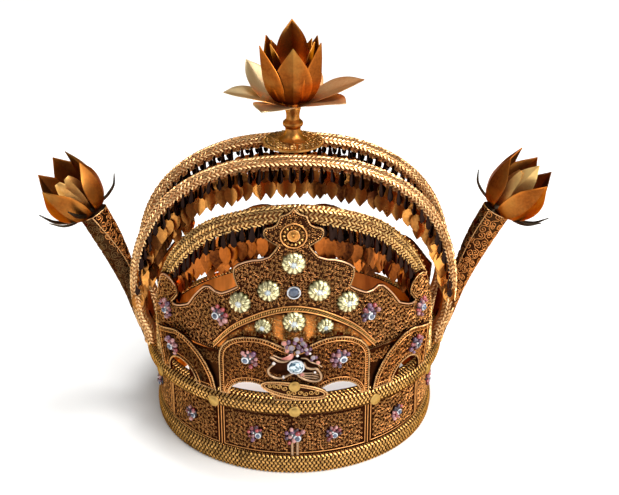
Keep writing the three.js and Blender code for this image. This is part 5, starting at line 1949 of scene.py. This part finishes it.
for name, spots, finish, shape in CLUSTER_SETS:
    finish_piece(ornaments(name, spots, finish, shape), "jewelled_gold", *GEM_NODES)

# %% [markdown]
# ## Spray and navette
# In front of the crest stands a jewelled spray: a large pale stone, loops of ribbon wire on both sides, a
# heap of small stones above it and a coral leaf. Below it a boat-shaped plate of scrolls is riveted to the
# rim.

# %% Spray
SPRAY_PHI, SPRAY_Z = 0.5, 86
SPRAY_STONE = 4.7
SPRAY_RIBBONS = [  # across and up from the large stone
    [
        (-13, 1.2), (-15, -0.6), (-16.6, -3), (-16.2, -6), (-13.8, -8.4), (-10.6, -9.4), (-7.4, -8.6),
        (-3.9, -6.8), (0, -5),
    ],
    [
        (4.6, 2.3), (6.2, -1.6), (9.4, -2.8), (12.4, -2.6), (14, -4.8), (15.2, -7.7), (14.8, -10.6),
        (11.3, -12), (6.5, -11), (2.6, -8.7), (0.6, -6),
    ],
    [(-3, 4.4), (-7, 2.8), (-10.4, 3.2), (-13, 5), (-15.4, 6.4)],
]
SPRAY_PLEATS = [
    [(2.4, -5.6), (6, -6.6), (10, -6.4), (13.4, -7.6)],
    [(2.2, -6.8), (6, -8.2), (10, -8.3), (13.6, -9.4)],
    [(2.8, -8.2), (6.4, -9.8), (10, -10.2), (13, -10.8)],
    [(-4, 5.4), (-8, 4.6), (-11, 5.6), (-13.4, 7)],
    [(3, 4.6), (6.4, 4.2), (9, 1.6), (12.6, 0.2), (15.6, -2)],
    [(-2, 6.4), (-5, 9), (-6.6, 12.4), (-6.4, 15.6)],
]
SPRAY_PURPLE = [
    (-4.4, 16.2, 1.6), (1.6, 13, 1.9), (5.4, 13.8, 1.6), (-0.6, 15.8, 1.5), (3.2, 18, 1.4), (6.8, 8.4, 1.6),
    (3.6, 10.4, 1.5), (-2.8, 9.6, 1.6), (-5.4, 12.8, 1.4), (8.6, 11, 1.2), (12, 5, 1.2), (9.4, 3.2, 1.2),
]
SPRAY_GREY = [
    (-2.6, 12.6, 1.9), (4.2, 15.6, 1.5), (6.2, 11, 1.2), (1.2, 9.2, 1.4), (10.4, 5.2, 1.4), (0.4, 18.6, 1.6)
]
SPRAY_CORAL = [(-6.8, 15.8, 1.6), (3.6, -7.2, 1.4), (-5.2, 10, 1.3), (13.2, 1.4, 1.2)]
SPRAY_PEARLS = [(-13.2, 1.4, 1.3), (-7.4, -8.7, 1.3), (11.4, -5.4, 0.9), (0.9, 6.9, 1.1), (8.4, 8.4, 0.9)]
spray_out = crest_out(SPRAY_PHI)
spray_up = (UP + radial(SPRAY_PHI) * CREST_LEAN).normalized()


def on_spray(across, up, proud):
    base = on_wall(crest_face(SPRAY_Z) + 0.3, SPRAY_PHI, SPRAY_Z)
    return base + (sideways(SPRAY_PHI) * across + spray_up * up + spray_out * proud) * MM


def spray_line(row, proud):
    path = smooth_rows(row, steps=5)
    return line([on_spray(x, y, proud) for x, y in path], [spray_out] * len(path))


def spray_spots(rows, proud):
    return [(on_spray(x, y, proud), spray_out, UP, radius) for x, y, radius in rows]


coral_leaf = (on_spray(-9.4, 6.2, 1.8), spray_out, sideways(SPRAY_PHI) + UP * 0.15, 8.0)
SPRAY_SETS = [
    ("spray_stone", [(on_spray(0, 0, 2.2), spray_out, UP, SPRAY_STONE)], large_stone, gem),
    ("spray_stone_cup", [(on_spray(0, 0, 0.6), spray_out, UP, SPRAY_STONE)], silver, collet),
    ("spray_grey_stones", spray_spots(SPRAY_GREY, 1.4), grey_stone, gem),
    ("spray_coral_stones", spray_spots(SPRAY_CORAL, 1.4), coral_stone, gem),
    ("spray_purple_stones", spray_spots(SPRAY_PURPLE, 1.1), purple_stone, bead),
    ("spray_small_cups", spray_spots(SPRAY_GREY + SPRAY_CORAL, 0.6), ribbon_gold, collet),
    ("spray_pearls", spray_spots(SPRAY_PEARLS, 2.0), pearl_and_glint_stone, round_grain),
    ("spray_leaf", [coral_leaf], coral_stone, spoon_petal),
]
for name, rows, proud, radius in (("ribbons", SPRAY_RIBBONS, 2.0, 0.85), ("pleats", SPRAY_PLEATS, 1.2, 0.5)):
    ribbon = wires(f"spray_{name}", [spray_line(row, proud) for row in rows], ribbon_gold, radius)
    finish_piece(ribbon, "jewelled_gold", "spray")
for name, spots, finish, shape in SPRAY_SETS:
    finish_piece(ornaments(name, spots, finish, shape), "jewelled_gold", "spray")

# %% Navette
NAVETTE = {"half": 21, "rise": 6, "z": 66, "slope": math.radians(-11)}
NAVETTE_SIDES = 72
NAVETTE_RIVET = {"z": 70, "size": 3.6}


def on_navette(x, y, proud):
    """A place on the navette's face, along it and across it, and the way out there."""
    across = x * math.cos(NAVETTE["slope"]) - y * math.sin(NAVETTE["slope"])
    z = NAVETTE["z"] + x * math.sin(NAVETTE["slope"]) + y * math.cos(NAVETTE["slope"])
    face = crest_face(z) + 1.6
    phi = math.degrees(across / face)
    return on_wall(face + proud, phi, z), radial(phi)


def navette_line(path, proud, **options):
    return line_through([on_navette(x, y, proud) for x, y in path], **options)


def edge_line(inset, proud, **options):
    """A closed line inside the navette's edge."""
    half, rise = NAVETTE["half"] - inset, NAVETTE["rise"] - inset
    path = [(half * x, rise * y) for x, y, _ in circle(1, 0, NAVETTE_SIDES)]
    return navette_line(path, proud, closed=True, **options)


finish_piece(smooth_copy("navette_plate", plate_gold, "navette"), "filigree_gold", "navette")
rings = [edge_line(0.4, 0.2), edge_line(2.2, 0.1, size=0.6)]
finish_piece(wires("navette_edge", rings, edge_gold, radius=0.55), "filigree_gold", "navette")
grain_line = edge_line(1.3, 0.2, size=0.5)
navette_grains = beads_on("navette_grains", [grain_line], wire_gold, round_grain, pitch=1.3)
finish_piece(navette_grains, "filigree_gold", "navette")
NAVETTE_CURLS = [(-14, 0.6, 1.4), (-8, 1, -1.8), (-1.6, -1.6, 1.6), (5.4, -0.8, -1.7), (12, 0.6, 1.7)]
curls = []
for x, y, reach in NAVETTE_CURLS:  # the last number's sign is the hand of the curl
    hand = math.copysign(1, reach)
    curl = scroll_path(abs(reach), turns=1.3, steps=12, closing=0.7)
    curls.append(navette_line([(x + a, y + hand * b) for a, b in curl], 0.2))
navette_scrolls = wires("navette_scrolls", curls, plait_gold, radius=0.3, sides=5, step=0.8)
finish_piece(navette_scrolls, "filigree_gold", "navette")
rivet_seat = on_wall(crest_face(NAVETTE_RIVET["z"]) + 2.2, 0, NAVETTE_RIVET["z"])
rivet_spot = [(rivet_seat, radial(0), UP, NAVETTE_RIVET["size"])]
finish_piece(ornaments("navette_rivet", rivet_spot, rivet_gold, dome), "filigree_gold", "navette")

# %% [markdown]
# ## Finish
# The patterns have done their work and leave the scene.

# %% Finish
for obj in patterns:
    bpy.data.objects.remove(obj)
